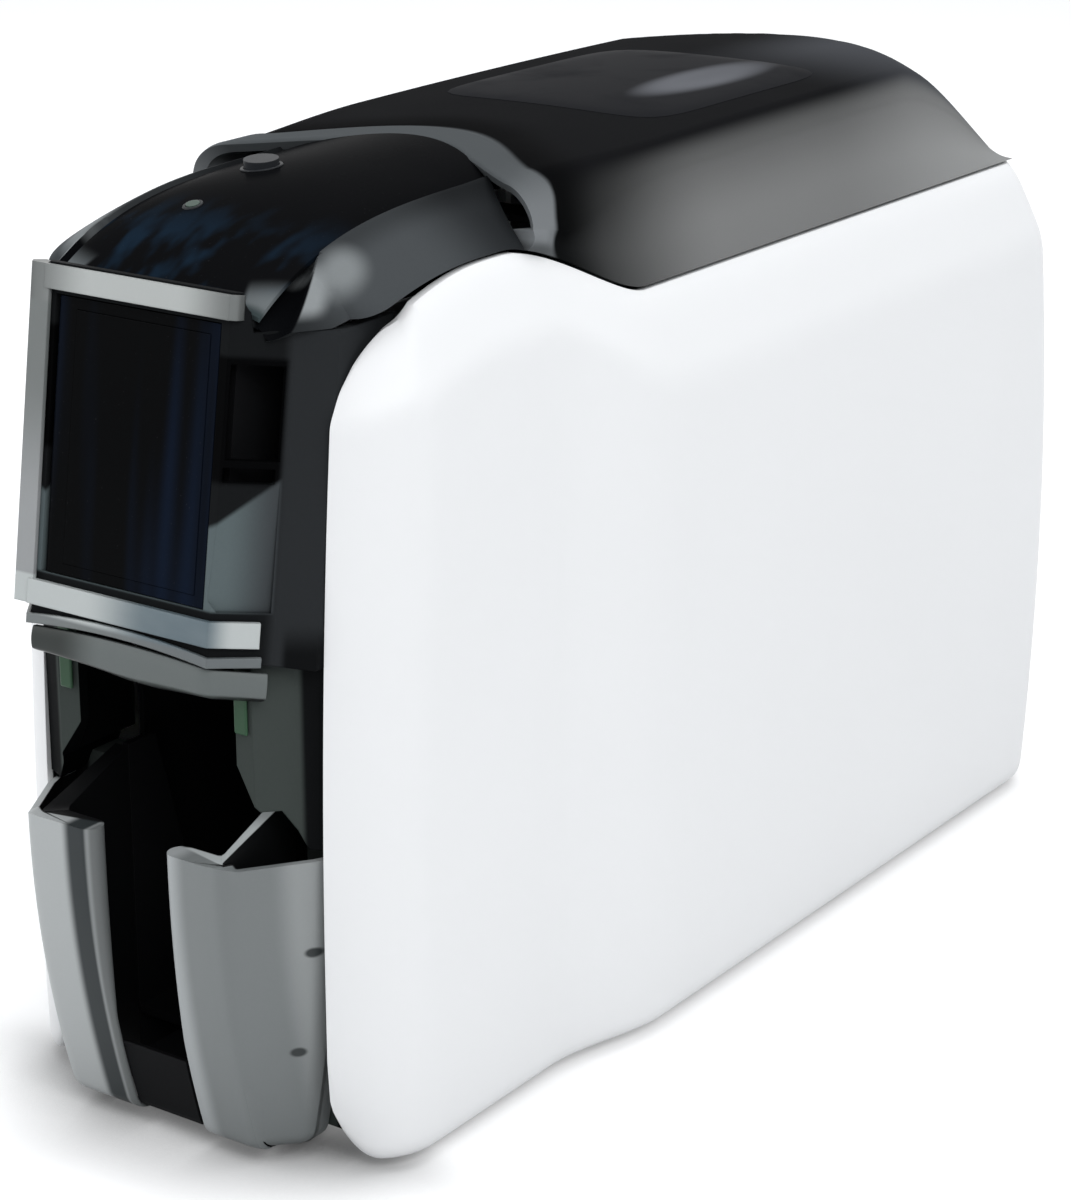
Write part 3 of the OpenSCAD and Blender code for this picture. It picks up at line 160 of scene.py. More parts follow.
class Graph:
    """The node tree of one material, with one method that makes every node."""

    def __init__(self, name: str) -> None:
        """Starts an empty material.

        Args:
            name: name of the material.
        """
        self.material = bpy.data.materials.new(name)
        self.material.use_nodes = True
        self.tree = self.material.node_tree
        self.tree.nodes.clear()
        self.output = self.make("ShaderNodeOutputMaterial")
        coordinates = self.make("ShaderNodeTexCoord")
        self.place = Wire(self, coordinates.outputs["Object"])
        self.normal = Wire(self, coordinates.outputs["Normal"])

    def make(self, kind: str, settings: Optional[dict] = None,
             inputs: Optional[dict] = None) -> bpy.types.Node:
        """Makes one node.

        Args:
            kind: Blender's type name of the node.
            settings: properties set before anything is linked; "stops" fills a colour ramp.
            inputs: socket name or number to a value or a wire.
        Returns:
            The new node.
        """
        node = self.tree.nodes.new(kind)
        for key, value in (settings or {}).items():
            if key == "stops":
                stops = node.color_ramp.elements
                while len(stops) < len(value):
                    stops.new(0.5)
                for stop, (position, colour) in zip(stops, value):
                    stop.position = position
                    stop.color = (*colour, 1.0)
            else:
                setattr(node, key, value)
        for key, value in (inputs or {}).items():
            socket = node.inputs[key]
            if isinstance(value, Wire):
                self.tree.links.new(value.socket, socket)
            elif isinstance(value, (tuple, list)) and len(value) == 3 and len(socket.default_value) == 4:
                socket.default_value = (*value, 1.0)
            else:
                socket.default_value = value
        return node

    def out(self, kind: str, settings: Optional[dict] = None, inputs: Optional[dict] = None,
            output: Union[int, str] = 0) -> Wire:
        """Makes one node and returns one of its outputs as a wire."""
        return Wire(self, self.make(kind, settings, inputs).outputs[output])

    def noise(self, scale: float, detail: float = 2.0, rough: float = 0.5, stretch: Optional[Colour] = None,
              distortion: float = 0.0) -> Wire:
        """Noise on object coordinates.

        Args:
            scale: cycles in a metre.
            detail: number of octaves.
            rough: strength of the finer octaves.
            stretch: scale along each axis, for grain that runs one way.
            distortion: how much the noise swirls.
        Returns:
            A value round 0.5.
        """
        where = self.place
        if stretch is not None:
            where = self.out("ShaderNodeMapping", {}, {"Vector": self.place, "Scale": stretch})
        return self.out("ShaderNodeTexNoise", {}, {"Vector": where, "Scale": scale, "Detail": detail,
                                                   "Roughness": rough, "Distortion": distortion})

    def cells(self, scale: float, feature: str = "F1") -> Wire:
        """Distance to the nearest cell point, on object coordinates."""
        return self.out("ShaderNodeTexVoronoi", {"feature": feature},
                        {"Vector": self.place, "Scale": scale})

    def axis(self, axis: Axis) -> Wire:
        """One object coordinate in millimetres."""
        return self.out("ShaderNodeSeparateXYZ", {}, {0: self.place}, axis.value) * 1000.0

    def facing(self, axis: Axis) -> Wire:
        """How far the surface faces along an axis of the piece, -1 to 1."""
        return self.out("ShaderNodeSeparateXYZ", {}, {0: self.normal}, axis.value)

    def flow(self, letter: str) -> Wire:
        """One coordinate of the piece's own map: X along it, Y across it."""
        return self.out("ShaderNodeSeparateXYZ", {},
                        {0: self.out("ShaderNodeUVMap", {"uv_map": "flow"})}, letter)

    def folded(self) -> Wire:
        """Object coordinates with the left half folded over onto the right."""
        apart = self.make("ShaderNodeSeparateXYZ", {}, {0: self.place})
        across = Wire(self, apart.outputs[0]).absolute()
        return self.out("ShaderNodeCombineXYZ", {}, {
            0: across, 1: Wire(self, apart.outputs[1]), 2: Wire(self, apart.outputs[2])})

    def along(self, start: Vector3, direction: Vector3) -> Wire:
        """Distance along a direction from a point, in millimetres, on both halves alike.

        Args:
            start: the point, in millimetres.
            direction: unit direction.
        Returns:
            The distance.
        """
        offset = self.out("ShaderNodeVectorMath", {"operation": "SUBTRACT"},
                          {0: self.folded(), 1: tuple(part * MM for part in start)})
        return self.out("ShaderNodeVectorMath", {"operation": "DOT_PRODUCT"},
                        {0: offset, 1: direction}, "Value") * 1000.0

    def off_line(self, start: Vector3, direction: Vector3) -> Wire:
        """Distance from a line, in millimetres, on both halves alike.

        Args:
            start: a point of the line, in millimetres.
            direction: unit direction of the line.
        Returns:
            The distance: the length of the cross product of the offset and the direction.
        """
        offset = self.out("ShaderNodeVectorMath", {"operation": "SUBTRACT"},
                          {0: self.folded(), 1: tuple(part * MM for part in start)})
        across = self.out("ShaderNodeVectorMath", {"operation": "CROSS_PRODUCT"}, {0: offset, 1: direction})
        return self.out("ShaderNodeVectorMath", {"operation": "LENGTH"}, {0: across}, "Value") * 1000.0

    def tint(self, colour: Union[Wire, Colour], factor: Term) -> Wire:
        """A colour times a number."""
        node = self.make("ShaderNodeMix", {"data_type": "RGBA", "blend_type": "MULTIPLY"}, {0: 1.0})
        for number, value in ((6, colour), (7, factor)):
            if isinstance(value, Wire):
                self.tree.links.new(value.socket, node.inputs[number])
            else:
                shown = value if isinstance(value, tuple) else (value,) * 3
                node.inputs[number].default_value = (*shown, 1.0)
        return Wire(self, node.outputs[2])

    def mix(self, share: Term, first: Union[Wire, Colour], second: Union[Wire, Colour]) -> Wire:
        """Mixes two colours.

        Args:
            share: 0 gives the first, 1 the second.
            first: colour or wire.
            second: colour or wire.
        Returns:
            The mixed colour.
        """
        node = self.make("ShaderNodeMix", {"data_type": "RGBA"}, {0: share})
        for number, value in ((6, first), (7, second)):
            if isinstance(value, Wire):
                self.tree.links.new(value.socket, node.inputs[number])
            else:
                node.inputs[number].default_value = (*value, 1.0)
        return Wire(self, node.outputs[2])

    def bump(self, height: Wire, depth: float, strength: float = 1.0, under: Optional[Wire] = None) -> Wire:
        """Turns a height into a normal.

        Args:
            height: 0..1 height.
            depth: metres that a height of 1 stands for.
            strength: share of the effect.
            under: another normal below this one.
        Returns:
            The normal.
        """
        inputs: dict = {"Height": height, "Distance": depth, "Strength": strength}
        if under is not None:
            inputs["Normal"] = under
        return self.out("ShaderNodeBump", {}, inputs)

    def surface(self, **sockets: object) -> bpy.types.Material:
        """Joins a Principled shader to the output.

        Args:
            sockets: socket names with spaces written as underscores, and their values.
        Returns:
            The finished material.
        """
        shader = self.make("ShaderNodeBsdfPrincipled", {},
                           {key.replace("_", " "): value for key, value in sockets.items()})
        self.tree.links.new(shader.outputs[0], self.output.inputs["Surface"])
        return self.material


def shade(colour: Colour, factor: float) -> Colour:
    """A colour made lighter or darker by a factor."""
    return tuple(min(1.0, part * factor) for part in colour)


# ---------------------------------------------------------------- finishes
@dataclass(frozen=True)
class Finish:
    """Something a surface can be dressed in."""

    name: str

    def build(self) -> bpy.types.Material:
        """Makes the material; each kind of finish has its own."""
        raise NotImplementedError

    def material(self) -> bpy.types.Material:
        """The material, made once and then shared."""
        return bpy.data.materials.get(self.name) or self.build()


@dataclass(frozen=True)
class Moulded(Finish):
    """Moulded plastic: spark-eroded grain, faint flow marks and a colour that drifts a little."""

    colour: Colour = (0.5, 0.5, 0.5)
    roughness: float = 0.45
    grain: float = 900.0
    depth: float = 0.00003
    mottle: float = 0.06
    coat: float = 0.0
    edge: float = 0.0004
    specular: float = 0.3

    def tone(self, g: Graph) -> Union[Wire, Colour]:
        """The colour before grain: one colour here, zones of colour in the kinds below."""
        return self.colour

    def build(self) -> bpy.types.Material:
        """Fine bumpy grain over a soft rounded edge, with colour that drifts a little."""
        g = Graph(self.name)
        drift = g.noise(9.0, 3.0)
        flow = g.noise(30.0, 2.0, stretch=(1.0, 1.0, 0.25))
        grain = g.noise(self.grain, 3.0, 0.6)
        pits = g.cells(self.grain * 0.8)
        wobble = 1.0 + ((drift - 0.5) * 2.0 + (grain - 0.5) * 0.8) * (2 * self.mottle)
        base = g.tint(self.tone(g), wobble)
        rough = self.roughness + (flow - 0.5) * 0.1 + (grain - 0.5) * 0.08
        rounded = g.out("ShaderNodeBevel", {"samples": 4}, {"Radius": self.edge}) if self.edge else None
        normal = g.bump(grain * 0.6 + pits * 0.4, self.depth, 0.7, rounded)
        return g.surface(Base_Color=base, Roughness=rough, Normal=normal, Coat_Weight=self.coat,
                         Coat_Roughness=0.25, Specular_IOR_Level=self.specular)


@dataclass(frozen=True)
class LidMoulding(Moulded):
    """Lid: a black crown with a painted sheen at its rear right, grey sides that are painted light and darken
    forwards and upwards, and a lighter band along the front lip with a painted shadow behind it and a painted
    highlight where it turns down the side.
    """

    crown: Colour = (0.0075, 0.0078, 0.0086)
    band: Colour = (0.078, 0.085, 0.089)

    def tone(self, g: Graph) -> Wire:
        """Zones on the lid's own map: run from the front lip (0.1 m), height from foot to middle."""
        run, rise = g.flow("X") * 100.0, g.flow("Y") * 3.0
        back = g.axis(Axis.BACK)
        # Painted light: the sides' grey stands for their lit faces. Painted shade darkens them forwards and
        # upwards, and painted light lifts them to the rear.
        side = g.tint(g.mix(back.ramp(-88.0, -8.0), (0.012, 0.013, 0.0135), self.colour),
                      1.0 - rise.ramp(0.35, 1.25) * 0.45 + back.ramp(60.0, 150.0) * 0.45)
        # Painted sheen: the black crown turns grey towards its rear right.
        top = g.mix(back.ramp(70.0, 150.0) * g.axis(Axis.ACROSS).ramp(-20.0, 20.0),
                    self.crown, (0.06, 0.063, 0.07))
        base = g.mix(rise.ramp(1.1, 1.75), side, top)
        run = run - rise.ramp(1.1, 1.7) * 6.0
        shadow = run.ramp(9.0, 13.0) * (1.0 - run.ramp(14.0, 34.0))
        base = g.tint(base, 1.0 - shadow * 0.6)
        # Lighter band along the lip, with a painted highlight where it turns down the side and painted shade
        # towards its foot; a painted shadow lies just behind it.
        lip_band_and_painted_highlight = g.mix(rise.ramp(0.9, 2.2), (0.2, 0.212, 0.22), self.band)
        lip_band_and_painted_highlight = g.tint(lip_band_and_painted_highlight, 0.5 + rise.ramp(0.15, 0.6) * 0.5)
        return g.mix(1.0 - run.ramp(9.5, 12.5), base, lip_band_and_painted_highlight)


@dataclass(frozen=True)
class ConsoleMoulding(Moulded):
    """Console: grey shoulders with painted shade that deepens towards the lid, under the deck's edge and low at
    the front, a painted highlight on the rim of a finger notch, a painted gleam beside it and painted black
    shade inside the notch.
    """

    # Colour of the painted shade towards the lid.
    rear: Colour = (0.022, 0.024, 0.026)
    gleam: Vector3 = (44.5, -161.0, 253.0)
    notch: tuple[Vector3, Vector3, float] = ((43.5, -192.0, 242.0), (-0.359, 0.807, 0.469), 6.5)

    def tone(self, g: Graph) -> Wire:
        """Front to rear in millimetres, then rings round the notch's line."""
        # Painted shade: the shoulders darken from front to rear towards the lid.
        base = g.mix(g.axis(Axis.BACK).ramp(-138.0, -104.0), self.colour, self.rear)
        # Painted shade: the flange under the deck's edge is darker.
        base = g.mix(1.0 - g.axis(Axis.ACROSS).absolute().ramp(38.5, 47.0), base, g.tint(base, 0.6))
        start, direction, radius = self.notch
        away = g.off_line(start, direction)
        near = 1.0 - g.along(start, direction).ramp(24.0, 32.0)
        # Painted shade: the shoulders darken low down at the front, by the panel's edge.
        low = (1.0 - g.axis(Axis.UP).ramp(243.0, 250.0)) * (1.0 - g.axis(Axis.BACK).ramp(-180.0, -160.0))
        base = g.tint(base, 1.0 - low * 0.6)
        # Painted highlight: a pale rim round the notch, with a painted gleam beside it.
        rim = (1.0 - away.ramp(radius + 3.0, radius + 8.0)) * near * g.axis(Axis.UP).ramp(242.5, 246.5)
        base = g.mix(rim, base, (0.26, 0.277, 0.282))
        gleam = (g.along(self.gleam, direction) ** 2.0 * 0.5 + g.off_line(self.gleam, direction) ** 2.0) ** 0.5
        base = g.mix(1.0 - gleam.ramp(2.0, 9.0), base, (0.205, 0.22, 0.224))
        # Painted shade: the inside of the finger notch is black.
        return g.mix((1.0 - away.ramp(radius + 0.2, radius + 0.9)) * near, base, (0.003, 0.0033, 0.004))


@dataclass(frozen=True)
class TowerMoulding(Moulded):
    """A part of the leaned front tower, with zones measured on its face and flank."""

    foot: tuple[float, float] = (-203.2, 164.0)
    lean: float = 8.6
    flank_x: float = 31.5
    flank_turn: float = 50.8

    def measures(self, g: Graph) -> tuple[Wire, Wire]:
        """Run along the flank from the corner and height along the leaned face, in millimetres."""
        a, b = math.radians(self.lean), math.radians(self.flank_turn)
        start = (self.flank_x, *self.foot)
        up = g.along(start, (0.0, math.sin(a), math.cos(a)))
        run = g.along(start, (math.cos(b), math.sin(b) * math.cos(a), -math.sin(b) * math.sin(a)))
        return run, up


@dataclass(frozen=True)
class FasciaMoulding(TowerMoulding):
    """Fascia: near black flank with painted black shade in its recess, a lighter sloping facet and grey cheeks
    below, and painted black shade by the panel and on the mouth's inner faces.
    """

    # Colour of the painted shade in the finger recess.
    recess: Colour = (0.0015, 0.0016, 0.0018)
    facet: Colour = (0.1, 0.125, 0.13)
    cheek: Colour = (0.052, 0.061, 0.057)

    def tone(self, g: Graph) -> Wire:
        """Painted recess shade between two heights, facet under a diagonal, cheeks below the arch, then painted
        shade by the panel and inside the mouth.
        """
        run, up = self.measures(g)
        flank = g.mix(run.ramp(14.0, 18.0), self.colour, (0.024, 0.026, 0.028))
        # Painted shade: the finger recess is near black.
        recess_shade_mask = up.ramp(37.5, 40.0) * (1.0 - up.ramp(71.0, 73.0)) * (1.0 - run.ramp(15.0, 17.0))
        base = g.mix(recess_shade_mask, flank, self.recess)
        below = (25.0 + (run + 4.0) * 0.7536 - up).ramp(-1.0, 1.0)
        slope = below * up.ramp(4.0, 5.2) * (1.0 - run.ramp(15.5, 17.0))
        base = g.mix(slope, base, g.mix(run.ramp(2.0, 16.0), self.facet, (0.05, 0.056, 0.06)))
        height, across = g.axis(Axis.UP), g.axis(Axis.ACROSS)
        base = g.mix(1.0 - height.ramp(148.0, 153.0), base, self.cheek)
        # Painted shade: black in the gap beside the side panel, below the arch.
        base = g.mix(across.absolute().ramp(43.5, 45.5) * (1.0 - height.ramp(155.0, 165.0)),
                     base, (0.006, 0.0065, 0.007))
        # Painted shade: faces inside the mouth that turn towards its middle are black.
        inward = g.facing(Axis.ACROSS) * (1.0 - across.ramp(-1.0, 1.0) * 2.0)
        return g.mix(inward.ramp(0.3, 0.6) * (1.0 - height.ramp(155.0, 158.0)),
                     base, (0.0025, 0.0028, 0.003))


@dataclass(frozen=True)
class TrimMoulding(TowerMoulding):
    """Trim: satin rails with painted highlights across the middle of the top rail and at both ends of the
    bottom rail, painted shade where the top rail turns onto the flank, a grey stile and a grey lip over the
    mouth.
    """

    def tone(self, g: Graph) -> Wire:
        """Top rail, bottom rail and lip by height along the face; brightness by place across it."""
        run, up = self.measures(g)
        across = g.axis(Axis.ACROSS)
        # Painted highlight: the top rail is bright across its middle and darker at its ends.
        top = g.mix(across.ramp(-36.0, -14.0) * (1.0 - across.ramp(14.0, 34.0)),
                    (0.14, 0.15, 0.147), (0.43, 0.45, 0.44))
        # Painted shade where the top rail turns onto the flank.
        top = g.tint(top, 1.0 - run.ramp(0.5, 3.0) * 0.45)
        # Painted highlights: the bottom rail is bright at both ends and streaky blue-grey between them.
        dip = across.ramp(-12.0, 12.0) * (1.0 - across.ramp(32.0, 37.0))
        low = g.mix(dip, (0.46, 0.49, 0.485),
                    g.mix(g.noise(55.0, 2.0, 0.5, (1.0, 1.0, 3.0)), (0.07, 0.105, 0.13), (0.15, 0.19, 0.205)))
        lip = g.mix(across.ramp(-20.0, 30.0), (0.15, 0.165, 0.165), (0.115, 0.13, 0.135))
        stile = g.mix(up.ramp(20.0, 60.0), (0.29, 0.3, 0.305), (0.15, 0.163, 0.16))
        base = g.mix(up.ramp(77.0, 79.0), stile, top)
        base = g.mix((1.0 - up.ramp(3.0, 4.0)), base, low)
        return g.mix(1.0 - up.ramp(-7.5, -6.0), base, lip)


@dataclass(frozen=True)
class JawMoulding(Moulded):
    """Jaws: satin grey, with painted highlights on the slot edge, the ridge top and over the left jaw, and
    painted black shade in the pocket, inside and on the walls that face the hopper's well.
    """

    # Colour of the painted highlight over the left jaw.
    left: Colour = (0.44, 0.46, 0.46)
    slot_edge_highlight: Colour = (0.4, 0.42, 0.425)
    flank: Colour = (0.19, 0.204, 0.205)
    rear: Colour = (0.29, 0.305, 0.305)
    painted_pocket_shade: Colour = (0.0035, 0.0038, 0.0042)
    marks: tuple[tuple[float, float], ...] = ((47.6, 68.0), (42.7, 37.0))

    def tone(self, g: Graph) -> Wire:
        """Stripes across the front by place and two latch marks; the map tells pocket and inner wall."""
        across = g.axis(Axis.ACROSS)
        # Painted highlight: the rounded slot edge of the right jaw is paler.
        base = g.mix(across.ramp(16.0, 22.0), self.slot_edge_highlight, self.colour)
        base = g.mix(across.ramp(30.5, 33.5), base, self.flank)
        base = g.mix(across.ramp(41.0, 46.0), base, self.rear)
        slit = across.ramp(-23.5, -20.0) * (1.0 - across.ramp(-15.2, -13.6))
        # Painted highlight: the left jaw is pale where the left lamp lights it, with a dark slit and a darker
        # slot edge beside it.
        pale = g.mix(across.ramp(-15.0, -13.0), self.left, (0.16, 0.17, 0.17))
        base = g.mix(across.ramp(-2.0, 2.0), g.mix(slit, pale, (0.03, 0.036, 0.038)), base)
        for x, z in self.marks:
            away = ((across - x) ** 2.0 + (g.axis(Axis.UP) - z) ** 2.0) ** 0.5
            base = g.mix(1.0 - away.ramp(1.0, 1.9), base, (0.04, 0.045, 0.046))
        wall = 1.0 - g.flow("Y").ramp(0.28, 0.33)
        # Painted highlight along the top of the right jaw's ridge wall.
        base = g.mix(wall * across.ramp(0.0, 2.0) * g.axis(Axis.UP).ramp(80.0, 90.0), base, (0.5, 0.53, 0.53))
        # Painted shade: the inner skin and pocket are black, as are the walls facing the hopper's well and the
        # whole ridge of the left jaw.
        base = g.mix(g.flow("X").ramp(0.85, 0.97), base, self.painted_pocket_shade)
        shaded_wall_mask = (1.0 - g.flow("X").ramp(0.02, 0.12)).most(1.0 - across.ramp(-2.0, 0.0))
        return g.mix(wall * shaded_wall_mask, base, self.painted_pocket_shade)


@dataclass(frozen=True)
class LipMoulding(Moulded):
    """Lip over the mouth: a satin bead with painted shade at its left end, then a guide behind it that painted
    shade darkens to black under the bead.
    """

    def tone(self, g: Graph) -> Wire:
        """The lip's own map: place along it in tenths of a metre and height down its section."""
        along, down = g.flow("X") * 100.0, g.flow("Y")
        # Painted shade: the bead darkens towards its left end.
        bead = g.mix(along.ramp(-21.0, -5.0), (0.03, 0.035, 0.033), self.colour)
        # Painted shade: the guide darkens to black going back under the bead, and is black along the middle of
        # the mouth.
        guide = g.mix(down.ramp(0.75, 0.95), (0.075, 0.085, 0.082), (0.01, 0.011, 0.012))
        guide = g.mix(along.ramp(-6.0, 10.0) * (1.0 - along.ramp(32.0, 40.0)), (0.006, 0.0065, 0.007), guide)
        return g.mix(down.ramp(0.66, 0.76), bead, guide)


@dataclass(frozen=True)
class Gloss(Finish):
    """Polished plastic: deep colour with faint cool streaks painted as reflections, ripple and finger smears.
    """

    colour: Colour = (0.02, 0.02, 0.025)
    # Colour of the painted reflections: streaks, and on the pad a haze patch.
    tint: Colour = (0.03, 0.05, 0.07)
    roughness: float = 0.12
    smear: float = 0.12
    edge: float = 0.0004
    specular: float = 0.1
    stretch: Vector3 = (1.0, 0.2, 0.2)
    streaks: float = 60.0

    def tone(self, g: Graph) -> Wire:
        """Deep colour with cool streaks that run one way, painted as reflections."""
        return g.mix(g.noise(self.streaks, 2.0, 0.5, self.stretch).ramp(0.48, 0.72), self.colour, self.tint)

    def build(self) -> bpy.types.Material:
        """Streaked base, roughness broken by soft smears and a little dust."""
        g = Graph(self.name)
        ripple = g.noise(60.0, 2.0)
        smear = g.noise(22.0, 4.0, 0.6, (1.0, 1.0, 0.35), 0.6).ramp(0.45, 0.75)
        dust = g.noise(1400.0, 1.0).ramp(0.72, 0.84)
        base = g.mix(dust * 0.04, self.tone(g), (0.35, 0.36, 0.38))
        rounded = g.out("ShaderNodeBevel", {"samples": 4}, {"Radius": self.edge}) if self.edge else None
        normal = g.bump(ripple, 0.00005, 0.4, rounded)
        return g.surface(Base_Color=base, Roughness=self.roughness + smear * self.smear + dust * 0.1,
                         Normal=normal, Specular_IOR_Level=self.specular)


@dataclass(frozen=True)
class DeckGloss(Gloss):
    """The console's deck: cool streaks painted as reflections that gather at its front edge, and a painted
    highlight on a rim by the finger notches.
    """

    notch: tuple[Vector3, Vector3, float] = ((43.5, -192.0, 242.0), (-0.359, 0.807, 0.469), 6.5)

    def tone(self, g: Graph) -> Wire:
        """Black with painted reflection streaks, then a paler front edge painted as a highlight."""
        back = g.axis(Axis.BACK)
        near = 1.0 - back.ramp(-172.0, -140.0)
        # Painted reflections: cool streaks near the front edge.
        streak = g.noise(self.streaks, 2.0, 0.5, self.stretch).ramp(0.45, 0.68) * near
        base = g.mix(streak, self.colour, self.tint)
        start, direction, radius = self.notch
        # Painted highlight: a pale rim by the finger notch.
        rim = ((1.0 - g.off_line(start, direction).ramp(radius + 2.0, radius + 4.0))
               * (1.0 - g.along(start, direction).ramp(14.0, 24.0)))
        base = g.mix(rim, base, (0.14, 0.155, 0.16))
        # Painted highlight along the deck's front edge.
        return g.mix(1.0 - back.ramp(-184.5, -182.0), base, (0.045, 0.06, 0.062))


@dataclass(frozen=True)
class PadGloss(Gloss):
    """The glossy pad on the lid, with a painted reflection streak along one side."""

    def tone(self, g: Graph) -> Wire:
        """Painted reflection inside a soft ellipse, broken by noise."""
        across = (g.axis(Axis.ACROSS) - 18.0) / 13.0
        back = (g.axis(Axis.BACK) - 58.0) / 44.0
        # Painted reflection: a grey streak inside the ellipse.
        inside = 1.0 - (across * across + back * back).ramp(0.15, 1.0)
        return g.mix(inside * (g.noise(40.0, 2.0, 0.5, self.stretch) * 0.6 + 0.5), self.colour, self.tint)


@dataclass(frozen=True)
class Metal(Finish):
    """Rolled, turned or plated metal with its working marks along one axis."""

    colour: Colour = (0.6, 0.6, 0.61)
    roughness: float = 0.32
    along: Colour = (1.0, 0.06, 1.0)
    spangle: float = 0.0
    edge: float = 0.0003

    def build(self) -> bpy.types.Material:
        """Streaks stretched along the working direction, spangle cells and a little tarnish."""
        g = Graph(self.name)
        streak = g.noise(1100.0, 3.0, 0.6, self.along)
        tarnish = g.noise(25.0, 4.0).ramp(0.5, 0.8)
        spangle = g.cells(260.0).ramp(0.1, 0.7) if self.spangle else streak
        base = g.mix(streak * 0.5 + spangle * 0.5, shade(self.colour, 0.86), shade(self.colour, 1.08))
        base = g.mix(tarnish * 0.25, base, shade(self.colour, 0.6))
        rounded = g.out("ShaderNodeBevel", {"samples": 4}, {"Radius": self.edge})
        return g.surface(Base_Color=base, Metallic=1.0,
                         Roughness=self.roughness + (streak - 0.5) * 0.2 + tarnish * 0.1,
                         Normal=g.bump(streak, 0.00002, 0.6, rounded))


@dataclass(frozen=True)
class Rubber(Finish):
    """Ground rubber: matte, finely scored round the roller, dusted with card lint."""

    colour: Colour = (0.05, 0.05, 0.055)
    lint: float = 0.2

    def build(self) -> bpy.types.Material:
        """Grinding lines across the axis and pale lint in patches."""
        g = Graph(self.name)
        score = g.noise(1500.0, 2.0, 0.6, (1.0, 0.08, 0.08))
        lint = g.noise(500.0, 3.0).ramp(0.62, 0.8) * self.lint
        base = g.mix(lint, g.mix(score, shade(self.colour, 0.75), shade(self.colour, 1.3)), (0.45, 0.45, 0.44))
        return g.surface(Base_Color=base, Roughness=0.75 + (score - 0.5) * 0.2,
                         Normal=g.bump(score, 0.00005, 0.8),
                         IOR=1.5)


@dataclass(frozen=True)
class Film(Finish):
    """Wound ribbon: bright film edges in fine rings and panels of colour along the web."""

    colour: Colour = (0.5, 0.1, 0.25)
    second: Colour = (0.1, 0.3, 0.5)
    spool: tuple[float, float] = (76.0, 198.0)

    def build(self) -> bpy.types.Material:
        """Rings by distance from the spool's axis, and broad colour panels round it."""
        g = Graph(self.name)
        across = g.axis(Axis.BACK) - self.spool[0]
        up = g.axis(Axis.UP) - self.spool[1]
        radius = (across * across + up * up) ** 0.5
        rings = (radius * 14.0).wave() * 0.5 + 0.5
        panel = g.noise(35.0, 0.0, 0.5, (0.02, 1.0, 1.0)).ramp(0.45, 0.55)
        base = g.mix(rings * 0.35, g.mix(panel, self.colour, self.second), (0.02, 0.02, 0.02))
        return g.surface(Base_Color=base, Roughness=0.22 + rings * 0.12, Normal=g.bump(rings, 0.00003, 0.5),
                         Coat_Weight=0.4, Coat_Roughness=0.1)


@dataclass(frozen=True)
class Board(Finish):
    """Circuit board: solder resist with copper tracks under it and tinned pads."""

    colour: Colour = (0.02, 0.16, 0.07)

    def build(self) -> bpy.types.Material:
        """Brick cells give straight tracks, small cells give pads."""
        g = Graph(self.name)
        turned = g.out("ShaderNodeMapping", {}, {"Vector": g.place, "Rotation": (0.0, math.pi / 2, 0.0)})
        tracks = g.out("ShaderNodeTexBrick", {"offset": 0.37}, {
            "Vector": turned, "Scale": 90.0, "Mortar Size": 0.035,
            "Color1": (0.0, 0.0, 0.0), "Color2": (0.0, 0.0, 0.0),
            "Mortar": (1.0, 1.0, 1.0)}, "Fac")
        pads = 1.0 - g.cells(420.0).ramp(0.12, 0.2)
        patch = g.noise(40.0, 1.0).ramp(0.5, 0.56)
        base = g.mix(tracks * 0.7, self.colour, shade(self.colour, 2.4))
        base = g.mix(pads * patch, base, (0.62, 0.6, 0.55))
        return g.surface(Base_Color=base, Roughness=0.35 - tracks * 0.08, Metallic=pads * patch * 0.8,
                         Normal=g.bump(tracks * 0.5 + pads * patch, 0.00008, 0.6),
                         Coat_Weight=0.3, Coat_Roughness=0.2)


@dataclass(frozen=True)
class Paper(Finish):
    """Plain seamless paper for the floor, with a contact shade under the front that fades to the rear."""

    colour: Colour = (0.86, 0.86, 0.86)
    glow: float = 0.3
    contact: float = 0.034
    fade: tuple[float, float] = (-172.0, -150.0)
    faded: float = 0.8

    def build(self) -> bpy.types.Material:
        """Matte paper, lifted to white for the camera and for what mirrors or lets light through."""
        g = Graph(self.name)
        open_sky = g.out("ShaderNodeAmbientOcclusion", {"samples": 16}, {"Distance": self.contact}, "AO")
        near = 1.0 - (1.0 - open_sky) * (1.0 - g.axis(Axis.BACK).ramp(*self.fade) * self.faded)
        base = g.tint(g.mix(g.noise(300.0, 3.0), shade(self.colour, 0.985), self.colour), near)
        matte = g.make("ShaderNodeBsdfDiffuse", {}, {"Color": base, "Roughness": 0.9})
        ray = g.make("ShaderNodeLightPath")
        seen = Wire(g, ray.outputs["Is Camera Ray"]).most(Wire(g, ray.outputs["Is Glossy Ray"]))
        seen = seen.most(Wire(g, ray.outputs["Is Transmission Ray"]))
        light = g.make("ShaderNodeEmission", {}, {"Color": near, "Strength": seen * self.glow})
        both = g.make("ShaderNodeAddShader")
        g.tree.links.new(matte.outputs[0], both.inputs[0])
        g.tree.links.new(light.outputs[0], both.inputs[1])
        g.tree.links.new(both.outputs[0], g.output.inputs["Surface"])
        return g.material


WHITE_PANEL = Moulded("satin_white", (0.86, 0.865, 0.87), 0.38, 1500.0, 0.00001, 0.008, 0.06, 0.0, 0.3)
DARK_SATIN = Moulded("dark_satin", (0.03, 0.032, 0.036), 0.5, 1100.0, 0.00002, 0.08, 0.0, 0.0004, 0.2)
FASCIA = FasciaMoulding("fascia_satin", (0.009, 0.0098, 0.0105),
                        0.5, 1100.0, 0.00002, 0.06, 0.0, 0.0006, 0.01)
